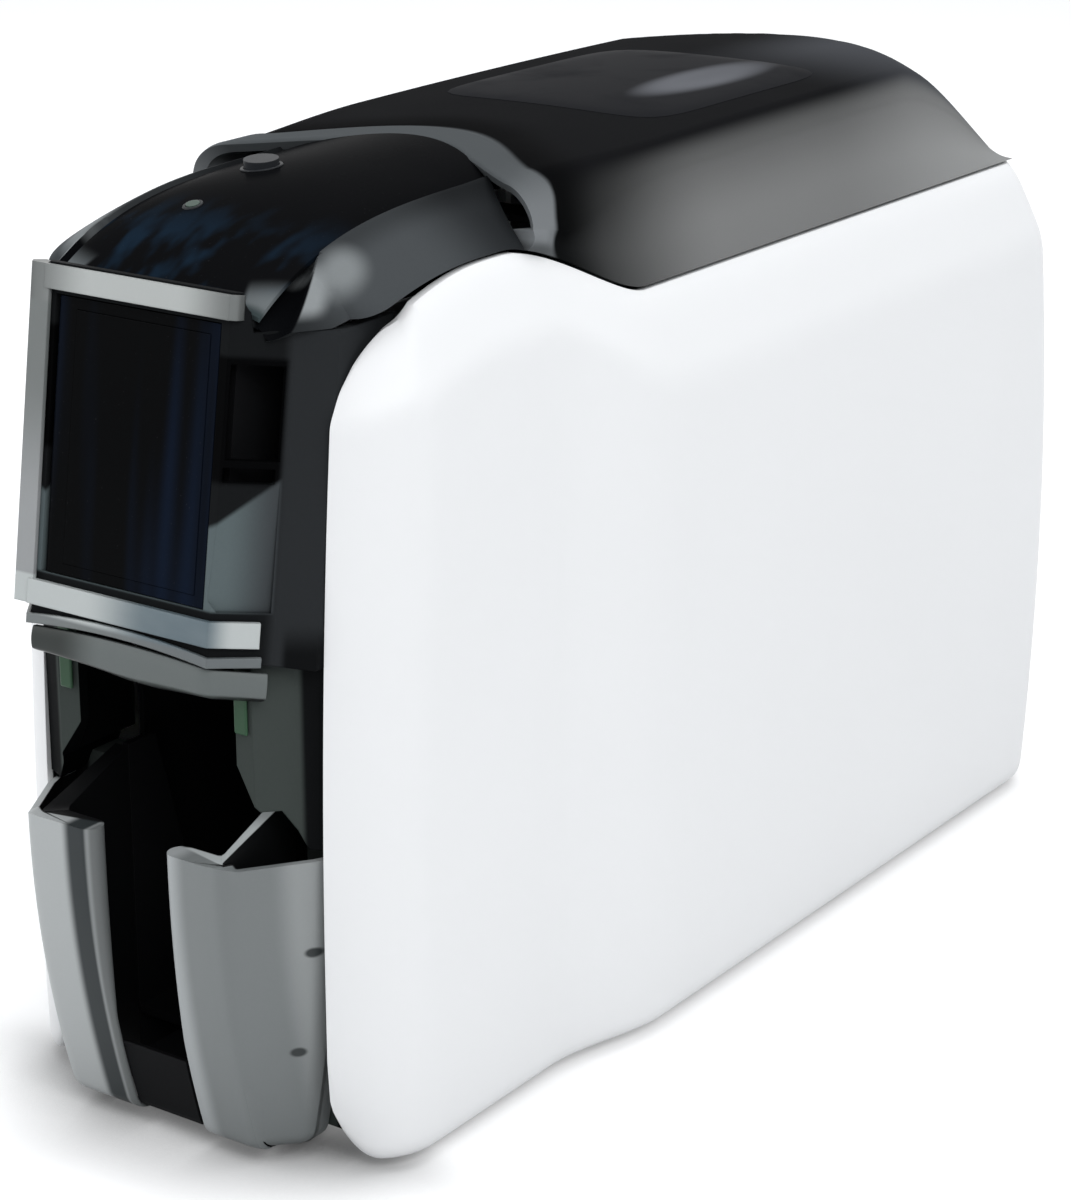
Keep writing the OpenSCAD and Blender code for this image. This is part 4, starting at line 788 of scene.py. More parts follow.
# The lid's grey is painted light on its lit sides; its crown is black.
LID_SATIN = LidMoulding("lid_satin", (0.2, 0.202, 0.2), 0.55, 1200.0, 0.000012, 0.03, 0.0, 0.0, 0.0015)
SHOULDER_GREY = ConsoleMoulding("shoulder_grey", (0.064, 0.07, 0.074),
                                0.5, 1100.0, 0.000015, 0.05, 0.0, 0.0, 0.004)
BUTTON_GREY = Moulded("button_grey", (0.02, 0.022, 0.025), 0.4, 1100.0, 0.00001, 0.05, 0.0, 0.0003, 0.12)
TRIM_SILVER = TrimMoulding("trim_silver", (0.4, 0.41, 0.42), 0.36, 1300.0, 0.00001, 0.03, 0.1, 0.0006, 0.4)
JAW_GREY = JawMoulding("jaw_grey", (0.215, 0.23, 0.231), 0.42, 1100.0, 0.000015, 0.03, 0.0, 0.0, 0.2)
LIP_GREY = LipMoulding("lip_grey", (0.125, 0.14, 0.138), 0.42, 1100.0, 0.000015, 0.03, 0.0, 0.0004, 0.2)
MOUTH_BLACK = Moulded("mouth_black", (0.006, 0.0063, 0.007), 0.6, 900.0, 0.00003, 0.1, 0.0, 0.0004, 0.05)
PAN_BLACK = Moulded("pan_black", (0.022, 0.023, 0.025), 0.55, 700.0, 0.00004, 0.1, 0.0, 0.0004, 0.15)
TRAY_BLACK = Moulded("tray_black", (0.006, 0.0062, 0.0068), 0.5, 900.0, 0.00003, 0.1, 0.0, 0.0004, 0.03)
LINER_GREY = Moulded("liner_grey", (0.05, 0.053, 0.058), 0.55, 800.0, 0.00003, 0.08, 0.0, 0.0004, 0.2)
SPOOL_WHITE = Moulded("spool_white", (0.75, 0.75, 0.73), 0.45, 900.0, 0.00002, 0.04)
GEAR_IVORY = Moulded("gear_ivory", (0.78, 0.74, 0.62), 0.42, 800.0, 0.00002, 0.05)
TAB_GREEN = Moulded("tab_green", (0.018, 0.062, 0.027), 0.4, 1000.0, 0.00002, 0.08)
# Door: black with painted blue reflection streaks.
DOOR_BLACK = Gloss("door_black", (0.0035, 0.0037, 0.004), (0.006, 0.011, 0.024),
                   0.1, 0.1, 0.0004, 0.012, (1.0, 0.06, 0.06))
DECK_BLACK = DeckGloss("deck_black", (0.0045, 0.0047, 0.0053), (0.008, 0.017, 0.03),
                       0.25, 0.1, 0.0, 0.0008, (1.0, 0.3, 1.0), 110.0)
PAD_BLACK = PadGloss("pad_black", (0.011, 0.0115, 0.0135), (0.13, 0.135, 0.15),
                     0.3, 0.1, 0.0, 0.001, (1.0, 0.3, 1.0))
LAMP_LENS = Gloss("lamp_lens", (0.06, 0.09, 0.075), (0.1, 0.15, 0.12), 0.1, 0.05)
ZINC = Metal("zinc_sheet", (0.62, 0.63, 0.65), 0.34, (1.0, 0.06, 1.0), 1.0)
GROUND_STEEL = Metal("ground_steel", (0.6, 0.6, 0.61), 0.26, (1.0, 0.08, 0.08))
BRASS = Metal("brass", (0.72, 0.52, 0.2), 0.3, (0.1, 1.0, 1.0))
MOTOR_BLACK = Metal("motor_black", (0.06, 0.06, 0.065), 0.45, (0.1, 1.0, 1.0))
HEAD_METAL = Metal("head_metal", (0.66, 0.6, 0.48), 0.3, (0.1, 1.0, 1.0))
SOCKET_METAL = Metal("socket_metal", (0.42, 0.43, 0.45), 0.35, (1.0, 0.1, 1.0))
DARK_RUBBER = Rubber("dark_rubber")
TACKY_BLUE = Rubber("tacky_blue", (0.16, 0.4, 0.5), 0.35)
SUPPLY_FILM = Film("supply_film", (0.5, 0.06, 0.2), (0.05, 0.25, 0.45), (76.0, 198.0))
TAKEUP_FILM = Film("takeup_film", (0.05, 0.045, 0.06), (0.12, 0.03, 0.07), (-24.0, 198.0))
RESIST = Board("solder_resist")


# ---------------------------------------------------------------- surfaces
def ease(t: Array) -> Array:
    """Smooth step: 3t² - 2t³ with t held to 0..1."""
    c = np.clip(t, 0.0, 1.0)
    return c * c * (3 - 2 * c)


def grid_quads(rows: int, cols: int, wrap: bool = False, ring: bool = False) -> Array:
    """Quads of a grid of points numbered row by row.

    Args:
        rows: number of rows.
        cols: number of columns.
        wrap: joins the last column to the first.
        ring: joins the last row to the first.
    Returns:
        An array of four point numbers a quad.
    """
    i = np.arange(rows if ring else rows - 1)[:, None]
    j = np.arange(cols if wrap else cols - 1)[None, :]
    k, n = (j + 1) % cols, (i + 1) % rows
    return np.stack([i * cols + j, i * cols + k, n * cols + k, n * cols + j], -1).reshape(-1, 4)


class Piece:
    """A new mesh made from point grids, dressed and hung on a body of the frame."""

    def __init__(self, name: str) -> None:
        """Starts an empty piece."""
        self.name = name
        self.points: list[Array] = []
        self.quads: list[Array] = []
        self.polygons: list[list[int]] = []
        self.flow: list[Array] = []
        self.count = 0

    def _add(self, points: Array, quads: Array, flow: Optional[Array] = None) -> int:
        """Takes in points, the quads between them and their places on the piece's own map.

        Args:
            points: array of points.
            quads: array of four point numbers a quad.
            flow: pair of numbers for each point.
        Returns:
            The number of the first new point.
        """
        start = self.count
        self.points.append(points.reshape(-1, 3))
        self.quads.append(quads + start)
        self.count += len(self.points[-1])
        self.flow.append(np.zeros((self.count - start, 2)) if flow is None else flow.reshape(-1, 2))
        return start

    def shell(self, outer: Array, inner: Array, flow: Optional[Array] = None,
              inner_flow: Optional[Array] = None) -> "Piece":
        """Adds a closed wall: outer grid, inner grid and the four edge strips between them.

        Args:
            outer: grid of points, rows by columns by 3.
            inner: grid of the same size.
            flow: rows by columns by 2, the place of each point on the piece's own map.
            inner_flow: the same for the inner grid, where it has places of its own.
        Returns:
            The piece.
        """
        rows, cols = outer.shape[:2]
        half = rows * cols
        skin = grid_quads(rows, cols)
        number = np.arange(half).reshape(rows, cols)
        rim = np.concatenate([number[0, :], number[1:, -1], number[-1, -2::-1], number[-2:0:-1, 0]])
        after = np.roll(rim, -1)
        strip = np.stack([after, rim, rim + half, after + half], -1)
        quads = np.concatenate([skin, skin[:, ::-1] + half, strip])
        second = flow if inner_flow is None else inner_flow
        both = None if flow is None else np.concatenate([flow.reshape(-1, 2), second.reshape(-1, 2)])
        self._add(np.concatenate([outer.reshape(-1, 3), inner.reshape(-1, 3)]), quads, both)
        return self

    def slab(self, loop: Array, drop: float) -> "Piece":
        """Adds a level plate: a plan loop, the same loop lower down and the strip between them.

        Args:
            loop: points of the upper outline.
            drop: thickness of the plate.
        Returns:
            The piece.
        """
        n = len(loop)
        below = loop - np.array([0.0, 0.0, drop])
        start = self._add(np.concatenate([below, loop]), grid_quads(2, n, True))
        self.polygons.append([start + n + k for k in range(n)])
        self.polygons.append([start + k for k in range(n)][::-1])
        return self

    def hoop(self, loops: Array) -> "Piece":
        """Adds a closed profile carried round a closed path: path steps by profile points by 3."""
        rows, cols = loops.shape[:2]
        self._add(loops, grid_quads(rows, cols, True, True))
        return self

    def finish(self, body: str, dress: Finish, replaces: Sequence[str] = (), slot: Optional[str] = None,
               bevel: float = 0.0, segments: int = 2, hand: Hand = Hand.RIGHT) -> bpy.types.Object:
        """Turns the grids into an object in metres and hangs it on a body.

        Args:
            body: body of the frame that it rides on.
            dress: its finish.
            replaces: nodes of the frame that it stands for.
            slot: not used.
            bevel: width of the rounding of its sharp edges, in millimetres.
            segments: steps of that rounding.
            hand: the side that the piece is made for.
        Returns:
            The object.
        """
        points = np.concatenate(self.points) * MM
        quads = np.concatenate(self.quads)
        if hand is Hand.LEFT:
            points = points * np.array([-1.0, 1.0, 1.0])
        corner = points[quads]
        volume = np.einsum("ij,ij->i", corner[:, 0], np.cross(corner[:, 1], corner[:, 2])).sum()
        volume += np.einsum("ij,ij->i", corner[:, 0], np.cross(corner[:, 2], corner[:, 3])).sum()
        faces = quads.tolist() + self.polygons
        if volume < 0:
            faces = [face[::-1] for face in faces]
        mesh = bpy.data.meshes.new(self.name)
        mesh.from_pydata(points.tolist(), [], faces)
        mesh.polygons.foreach_set("use_smooth", np.ones(len(mesh.polygons), bool))
        mesh.set_sharp_from_angle(angle=math.radians(38))
        flow = np.concatenate(self.flow)
        corners = np.empty(len(mesh.loops), int)
        mesh.loops.foreach_get("vertex_index", corners)
        mesh.uv_layers.new(name="flow").data.foreach_set("uv", flow[corners].ravel())
        piece = bpy.data.objects.new(self.name, mesh)
        bpy.context.scene.collection.objects.link(piece)
        if bevel:
            rounding = piece.modifiers.new("rounded_edges", "BEVEL")
            rounding.width = bevel * MM
            rounding.segments = segments
            rounding.limit_method = "ANGLE"
            rounding.angle_limit = math.radians(38)
        mesh.materials.append(dress.material())
        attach(piece, body)
        if replaces:
            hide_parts(*replaces)
        log.info("%s: %d points on %s", self.name, len(points), body)
        return piece


@dataclass(frozen=True)
class GuideCurves:
    """Sizes and guide curves of the body, in millimetres: x across, y back, z up."""

    half_w: float = 79.0
    front_y: float = -206.0
    rear_y: float = 206.0
    panel_step: float = 9.0
    band_lean: float = 10.0
    panel_h: float = 230.5
    hump_h: float = 19.5
    wall: float = 2.5
    gap: float = 1.0
    fit: float = 0.3
    corner: tuple[float, float] = (18.0, 20.0)
    step_y: tuple[float, float] = (-100.0, -53.0)
    overall_h: float = 271.0
    door_lean: float = 8.6
    tower_foot: tuple[float, float] = (-203.2, 164.0)

    @property
    def front_half(self) -> float:
        """Half width of the narrow front part."""
        return self.half_w - self.panel_step

    @property
    def panel_front(self) -> float:
        """Depth at which the side panels start."""
        return self.front_y + 28

    def droop(self, y: Array) -> Array:
        """Fall of the panel's top towards the front: a parabola from y = -120."""
        return 8 * np.maximum(0, (-120 - y) / 46.6) ** 2

    def panel_top(self, y: Array) -> Array:
        """Top edge of a side panel: level, then an eased rise to the hump, then the fall to the front."""
        return self.panel_h + self.hump_h * (1 - ease((y + 110) / 58)) - self.droop(y)

    def panel_crease(self, y: Array) -> Array:
        """Line where the panel starts to lean inwards."""
        return self.panel_h - 26.5 + (self.hump_h + 5.5) * (1 - ease((y + 103) / 58)) - self.droop(y)

    def plan_half(self, y: Array) -> Array:
        """Half width in plan: a quarter ellipse at the front, then the eased step to the full width."""
        turn = self.panel_front + self.corner[1]
        wide = self.front_half + self.panel_step * ease(
            (y - self.step_y[0]) / (self.step_y[1] - self.step_y[0]))
        lead = np.clip((turn - y) / self.corner[1], 0, 1)
        return np.where(y < turn, self.front_half - self.corner[0] * (1 - np.sqrt(1 - lead ** 2)), wide)

    def slope(self, y: Array) -> Array:
        """Sideways slope of the plan line."""
        return (self.plan_half(y + 1) - self.plan_half(y - 1)) / 2

    def path_y(self, y: Array) -> Array:
        """Plan depth whose panel edge, leaned inwards, ends up at y."""
        return y - self.band_lean * 1.08 * np.sin(np.arctan(self.slope(y)))

    def deck(self, y: Array) -> Array:
        """Height of the console's deck: a slow fall and a fifth-power fall towards the front."""
        d = np.clip((-50 - y) / 136, 0, 1)
        return self.overall_h - 5 * d - 20 * d ** 5

    def arch(self, x: Array) -> Array:
        """Front edge of the lid in plan: a bow that reaches furthest back in the middle."""
        return -98 + 30 * np.maximum(0, 1 - (x / 60.0) ** 2) ** 1.7

    def on_tower(self, x: Array, y: Array, z: Array) -> Array:
        """Points given in the leaned frame of the front tower, turned into the body's frame."""
        a = math.radians(self.door_lean)
        x, y, z = np.broadcast_arrays(np.asarray(x, float), y, z)
        return np.stack([x, self.tower_foot[0] + y * math.cos(a) + z * math.sin(a),
                         self.tower_foot[1] - y * math.sin(a) + z * math.cos(a)], -1)


LINES = GuideCurves()


# ---------------------------------------------------------------- covers
@dataclass
class SidePanels:
    """The two white side panels."""

    lines: GuideCurves = LINES
    front_round: float = 12.0
    rear_round: float = 14.0
    foot_z: float = 4.0
    roll: float = 2.5
    reach: dict[Hand, float] = field(default_factory=lambda: {Hand.RIGHT: 6.3, Hand.LEFT: 3.0})

    def plan(self) -> tuple[Array, Array]:
        """Plan path of a panel from its front edge round to its rear edge, and its outward normals.

        Returns:
            Points and unit normals, one pair of numbers each.
        """
        c, (cx, cy) = self.lines, self.lines.corner
        turn, (s0, s1) = c.panel_front + cy, c.step_y
        a = np.linspace(0, math.pi / 2, 26)
        front = np.stack([c.front_half - cx * (1 - np.sin(a)), c.panel_front + cy * (1 - np.cos(a))], -1)
        y = np.concatenate([np.linspace(turn, s0, 12)[1:], np.linspace(s0, s1, 36)[1:],
                            np.linspace(s1, c.rear_y - cy, 40)[1:]])
        side = np.stack([c.front_half + c.panel_step * ease((y - s0) / (s1 - s0)), y], -1)
        rear = np.stack([c.half_w - cx * (1 - np.cos(a)), c.rear_y - cy * (1 - np.sin(a))], -1)[1:]
        path = np.concatenate([front, side, rear])
        path[0] = (c.front_half - cx, c.panel_front)
        tangent = np.gradient(path, axis=0)
        tangent[0], tangent[-1] = (1, 0), (-1, 0)
        tangent /= np.linalg.norm(tangent, axis=1, keepdims=True)
        return path, np.stack([tangent[:, 1], -tangent[:, 0]], -1)

    def skin(self, extra: float, hand: Hand) -> Array:
        """One skin of a panel.

        A point stands on the plan path at a height between foot and top edge. It is set in along
        the path's normal: a quarter-round roll at the foot, nothing on the flat, a blended crease
        and then the leaning band. Front and rear edges bow with height, and the front edge
        reaches forward over the tower's flank.

        Args:
            extra: how far the whole skin is set in, in millimetres.
            hand: the panel, drawn on the right whichever it is.
        Returns:
            Grid of points, path steps by heights by 3.
        """
        c = self.lines
        path, normal = self.plan()
        run = np.concatenate([[0], np.cumsum(np.linalg.norm(np.diff(path, axis=0), axis=1))])
        rounding = self._round(self.front_round, run) + self._round(self.rear_round, run[-1] - run)
        y = path[:, 1][:, None]
        full = c.panel_top(y)
        top = full - rounding[:, None]
        foot = self.foot_z + rounding[:, None]
        crease = np.minimum(c.panel_crease(y), top - 5)
        low = (1 - np.cos(np.linspace(0, math.pi / 2, 12)))[None, :] * 0.04
        mid = np.linspace(0.04, 0.975, 16)[None, 1:]
        up = np.linspace(-0.2, 1.0, 22)[None, :]
        z = np.concatenate([foot + (crease - foot) * low, foot + (crease - foot) * mid,
                            np.maximum(crease + (top - crease) * up, foot + (crease - foot) * 0.976)], 1)
        lift = np.clip((self.roll * 2.2 - (z - foot)) / (self.roll * 2.2), 0, 1)
        inset = self.roll * (1 - np.sqrt(1 - lift ** 2))
        u = (z - crease) / (top - crease)
        w = 0.2
        lean = np.where(u < -w, 0, np.where(u < w, 0.9 * (u + w) ** 2 / (4 * w), 0.9 * u))
        lean = lean + 0.18 * np.clip(u, 0, 1) ** 8
        inset = inset + lean * c.band_lean * (top - crease) / (full - c.panel_crease(y)) + extra
        bow = 5 * (np.maximum(0, z - 60) / 130) ** 2 * ease((c.step_y[0] - y) / 78)
        bow = bow - 12 * ((z - 92) / 118) ** 2 * ease((y - 100) / 106)
        bow = bow - self.reach[hand] * (np.clip(1 - run / 18, 0, 1) ** 1.5)[:, None] * ease((z - 4) / 26)
        x = path[:, :1] - inset * normal[:, :1]
        return np.stack([x, path[:, 1:] - inset * normal[:, 1:] + bow, z], -1)

    @staticmethod
    def _round(radius: float, run: Array) -> Array:
        """Fall of a rounded corner: radius less the circle's height at that run."""
        d = np.clip(run, 0, radius)
        return radius - np.sqrt(np.maximum(0, radius ** 2 - (radius - d) ** 2))

    def build(self) -> None:
        """Makes both hands."""
        for hand in Hand:
            node = hand.value + "_panel"
            Piece(node + "_skin").shell(self.skin(0.0, hand), self.skin(self.lines.wall, hand)).finish(
                "base", WHITE_PANEL, (node,), node, 0.7, 3, hand)


@dataclass
class Console:
    """Console behind the door: grey shoulders with finger notches, a glossy deck, its button ring and lamp."""

    lines: GuideCurves = LINES
    front: float = -186.0
    edge: float = 38.0
    deck_drop: float = 1.8
    sag: tuple[float, float] = (1.4, 3.2)
    notch: tuple[Vector3, Vector3, float] = SHOULDER_GREY.notch
    notch_run: float = 34.0
    rows: Array = field(default_factory=lambda: np.concatenate(
        [np.linspace(0, 0.45, 64), np.linspace(0.45, 1, 34)[1:]]))

    def crown(self, x: Array, y: Array) -> Array:
        """Height of the console's top: the deck line less a parabola across that deepens to the rear."""
        deep = self.sag[0] + self.sag[1] * np.clip((y - self.front) / 88, 0, 1)
        return self.lines.deck(y) - deep * (x / self.edge) ** 2

    def foot_x(self, y: Array) -> Array:
        """Half width of the console's foot: straight, an elliptical turn, then a taper to the front."""
        c = self.lines
        base = c.front_half - c.band_lean * 1.08 - c.fit - 0.2
        turn = c.panel_front + c.corner[1]
        arc = base - 7 * (1 - np.sqrt(np.clip(1 - ((turn - y) / 9) ** 2, 0, 1)))
        u = np.clip((turn - 9 - y) / (turn - 9 - self.front), 0, 1) ** 1.3
        return np.where(y > turn, base, np.where(y > turn - 9, arc, (base - 7) * (1 - u) + 40 * u))

    def dent(self, points: Array, extra: float) -> Array:
        """Sinks what lies inside the notch's cylinder down to its far side.

        A point at run t along the cylinder's line has an offset from it; the part of the offset
        that points up and out becomes minus the root of the radius squared less the rest squared.

        Args:
            points: grid of points of the right half.
            extra: added to the cylinder's radius.
        Returns:
            The grid with the notch in it.
        """
        start, line, radius = (np.array(part) for part in self.notch)
        out = np.array([0.45, -0.35, 0.82])
        out = out - out.dot(line) * line
        out = out / np.linalg.norm(out)
        offset = points - start
        run = offset @ line
        radial = offset - run[..., None] * line
        high = radial @ out
        side = (radial ** 2).sum(-1) - high ** 2
        deep = -np.sqrt(np.maximum(0, (radius + extra) ** 2 - side))
        inside = (run > -4) & (run < self.notch_run + extra) & (side < (radius + extra) ** 2) & (high > deep)
        return points + np.where(inside, deep - high, 0)[..., None] * out

    def cover(self, inset: float) -> Array:
        """One skin of a shoulder: from foot to deck edge, then the step down and a flange under the deck.

        Args:
            inset: how far in the skin lies.
        Returns:
            Grid of points of the right shoulder.
        """
        c = self.lines
        s = np.linspace(0, 1, 44)
        flat = np.array([0.975, 0.96, 0.85, 0.75])
        guess = np.concatenate([58 + (self.edge - 58) * s, self.edge * flat])
        v = self.rows[:, None]
        y = self.front + (c.arch(guess)[None, :] - c.gap - self.front) * v + np.where(v == 0, inset, 0)
        foot_x = self.foot_x(y) - inset
        edge_x = np.minimum(self.edge, foot_x - 1)
        part = np.concatenate([s, np.ones(len(flat))])[None, :]
        inner = np.concatenate([np.ones(len(s)), flat])[None, :]
        x = np.where(inner == 1, foot_x + (edge_x - foot_x) * part, edge_x * inner)
        top = self.crown(self.edge * inner, y) - inset
        foot_z = np.maximum(241, c.panel_top(y) + c.gap)
        lift = np.where(part < 1, part ** 0.8, 1)
        z = foot_z + (top - foot_z) * lift
        z = np.where(inner < 0.97, top - self.deck_drop, z)
        return self.dent(np.stack([x, y, z], -1), inset)

    def deck(self, drop: float) -> Array:
        """One skin of the deck: the deck's height less a parabola across, rolled down at its sides."""
        c = self.lines
        u = np.sin(np.linspace(math.pi / 2, -math.pi / 2, 41))[None, :]
        x = u * (self.edge - 2.0) * np.ones((len(self.rows), 1))
        y = self.front + 1 + (c.arch(x) - c.gap - 2 - self.front) * self.rows[:, None]
        narrow = np.minimum(1, (self.foot_x(y) - 2.2) / (self.edge - 2.0))
        z = self.crown(self.edge * u, y) - drop - 0.9 * np.abs(u) ** 10
        return np.stack([x * narrow, y, z], -1)

    def ring(self, x: float, y: float, radius: float, name: str) -> None:
        """A thin bezel: a rounded section of 0.5 mm carried round a circle that lies on the deck.

        Args:
            x: place across.
            y: place along.
            radius: radius of the circle.
            name: name of the piece.
        """
        a = np.linspace(0, 2 * math.pi, 49)[:-1, None]
        b = np.linspace(0, 2 * math.pi, 9)[None, :-1]
        r = radius + 0.5 * np.cos(b)
        px, py = x + r * np.cos(a), y + r * np.sin(a)
        loops = np.stack([px, py, self.crown(px, py) + 0.05 + 0.35 * np.sin(b)], -1)
        Piece(name).hoop(loops).finish("base", BUTTON_GREY)

    def build(self) -> None:
        """Makes the two shoulders, the deck and the rings."""
        outer, inner, mirror = self.cover(0.0), self.cover(2.5), np.array([-1, 1, 1])
        Piece("console_shoulders").shell(outer, inner).shell(
            (outer * mirror)[:, ::-1], (inner * mirror)[:, ::-1]
        ).finish("base", SHOULDER_GREY, ("console_cover",), "console_cover")
        Piece("console_gloss_deck").shell(self.deck(0.0), self.deck(1.3)).finish(
            "base", DECK_BLACK, ("console_deck",), "console_deck", 0.25)
        self.ring(-17, -119, 5.6, "button_ring")
        self.ring(-14, -152, 2.4, "lamp_ring")


@dataclass
class Lid:
    """Hinged lid: a raised band along its arched front lip, rounded shoulders and sloping sides."""

    lines: GuideCurves = LINES
    shoulder_x: float = 61.0
    shoulder_r: float = 9.0
    inlay_t: float = 0.45
    hinge_y: float = 188.0
    lip: float = 1.0
    band_w: float = 22.0
    band_rise: float = 1.2
    camber: float = 1.6

    def rear(self, x: Array) -> Array:
        """Rear edge in plan, bowed back in the middle."""
        return self.hinge_y - 12 + 10 * (1 - (x / 70) ** 2)

    def rear_slope_start(self, x: Array) -> Array:
        """Line along which the top turns down to the rear, bowed forward at the sides."""
        return self.hinge_y - 35 - 42 * (x / 60) ** 2

    def crown(self, y: Array) -> Array:
        """Height of the middle of the lid: a shallow parabola."""
        return self.lines.overall_h - self.inlay_t - 2.2 * ((y - 70) / 160) ** 2

    def skin(self, inset: float) -> tuple[Array, Array]:
        """One skin of the lid.

        Across: a side that leans in from the panel's edge, a shoulder whose radius widens towards
        the lip, then a shallow crown. Along: a front lip that rises to the crown over the band's
        width with an eased ridge behind it, sides that flare out at the band and in behind it, and
        at the rear a fall to the panel's height by a power law. The inner skin of the sides turns
        in at the lip, which makes a flange there.

        Args:
            inset: how far in the skin lies.
        Returns:
            Grid of points from the right foot over to the left foot, and its map: run from the lip
            in tenths of a metre, then height from foot to middle in thirds.
        """
        c = self.lines
        side, turn, top = np.linspace(0, 1, 22), np.linspace(0, 1, 17)[1:], np.linspace(0, 1, 26)[1:]
        kind = np.concatenate([np.zeros(22), np.ones(16), np.full(25, 2)])[None, :]
        h = np.concatenate([side, turn, top])[None, :]
        rows = np.concatenate(
            [np.linspace(0, 0.14, 60), np.linspace(0.14, 0.55, 34)[1:], np.linspace(0.55, 1, 44)[1:]])
        guess = np.where(kind == 0, 68 + (self.shoulder_x - 68) * h, np.where(
            kind == 1, self.shoulder_x - self.shoulder_r * (1 - np.cos(h * math.pi / 2)),
            (self.shoulder_x - self.shoulder_r) * (1 - h)))
        y0 = c.arch(np.minimum(guess, self.shoulder_x - 1)) + inset
        y1 = self.rear(guess) - inset * 1.1
        y = y0 + (y1 - y0) * rows[:, None]
        tilt = np.arctan(c.slope(y))
        run = y - y0
        turned = inset + (7.5 * (1 - ease(run / 3)) if inset else 0.0)
        foot_x = c.plan_half(c.path_y(y)) - c.band_lean * 1.05 * np.cos(tilt) - c.fit - turned
        foot = c.panel_top(c.path_y(y)) + c.gap
        sx = self.shoulder_x - inset - (turned - inset) * np.where(kind == 0, 0.9, 0.0)
        lip = self.lip * (1 - ease(run / self.band_w)) + 0.9 * np.clip(1 - run / 2.0, 0, 1) ** 2
        rise = self.band_rise * (1 - ease((run - self.band_w + 10) / 5))
        flare = 1.4 * (1 - ease((run - 5) / 5)) - 1.8 * ease((run - 7) / 9) * (1 - ease((run - 22) / 40))
        shoulder = self.crown(y) - self.camber - inset - lip + rise
        r = np.minimum(self.shoulder_r + 8 * (1 - ease(run / 70)), 0.65 * (shoulder - foot))
        arc = h * math.pi / 2
        x = np.where(kind == 0, foot_x + (sx - foot_x) * h ** 1.2 + flare * np.sin(math.pi * h),
                     np.where(kind == 1, sx - r * (1 - np.cos(arc)), (sx - r) * (1 - h)))
        z = np.where(kind == 0, foot + (shoulder - r - foot) * h,
                     np.where(kind == 1, shoulder - r + r * np.sin(arc),
                              shoulder + self.camber * (1 - (x / (sx - r)) ** 2)))
        yy = y + inset * 1.1
        fall = np.clip((self.rear(guess) - yy) / (self.rear(guess) - self.rear_slope_start(guess)), 0, 1)
        fall = 1 - (1 - fall) ** 1.6
        half = np.stack([x, y, foot + (z - foot) * fall], -1)
        flow = np.stack([run / 100, np.broadcast_to((kind + h) / 3, run.shape)], -1)
        return (np.concatenate([half, (half * np.array([-1, 1, 1]))[:, -2::-1]], 1),
                np.concatenate([flow, flow[:, -2::-1]], 1))

    def pad(self, drop: float) -> Array:
        """One skin of the glossy pad on top: a rounded rectangle wrapped on the crown.

        The grid runs over a superellipse |u|^7 + |v|^7 = 1 scaled from its middle.
        """
        rings = np.linspace(0, 1, 18)[:, None]
        a = np.linspace(0, 2 * math.pi, 73)[None, :]
        k = (np.abs(np.cos(a)) ** 7 + np.abs(np.sin(a)) ** 7) ** (-1 / 7)
        x = 42 * rings * k * np.cos(a)
        y = 44 + 52 * rings * k * np.sin(a)
        z = self.crown(y) - self.camber * (x / (self.shoulder_x - self.shoulder_r)) ** 2 + drop
        z = z - np.where(drop > 0.1, 0.35 * rings ** 14, 0)
        return np.stack([x, y, z], -1)

    def build(self) -> None:
        """Makes the shell and its glossy pad."""
        (outer, flow), (inner, _) = self.skin(0.0), self.skin(2.5)
        Piece("lid_moulding").shell(outer, inner, flow).finish(
            "lid", LID_SATIN, ("lid_shell",), "lid_shell", 0.6, 3)
        Piece("lid_gloss_pad").shell(self.pad(self.inlay_t), self.pad(0.02)).finish(
            "lid", PAD_BLACK, ("lid_inlay",), "lid_inlay")


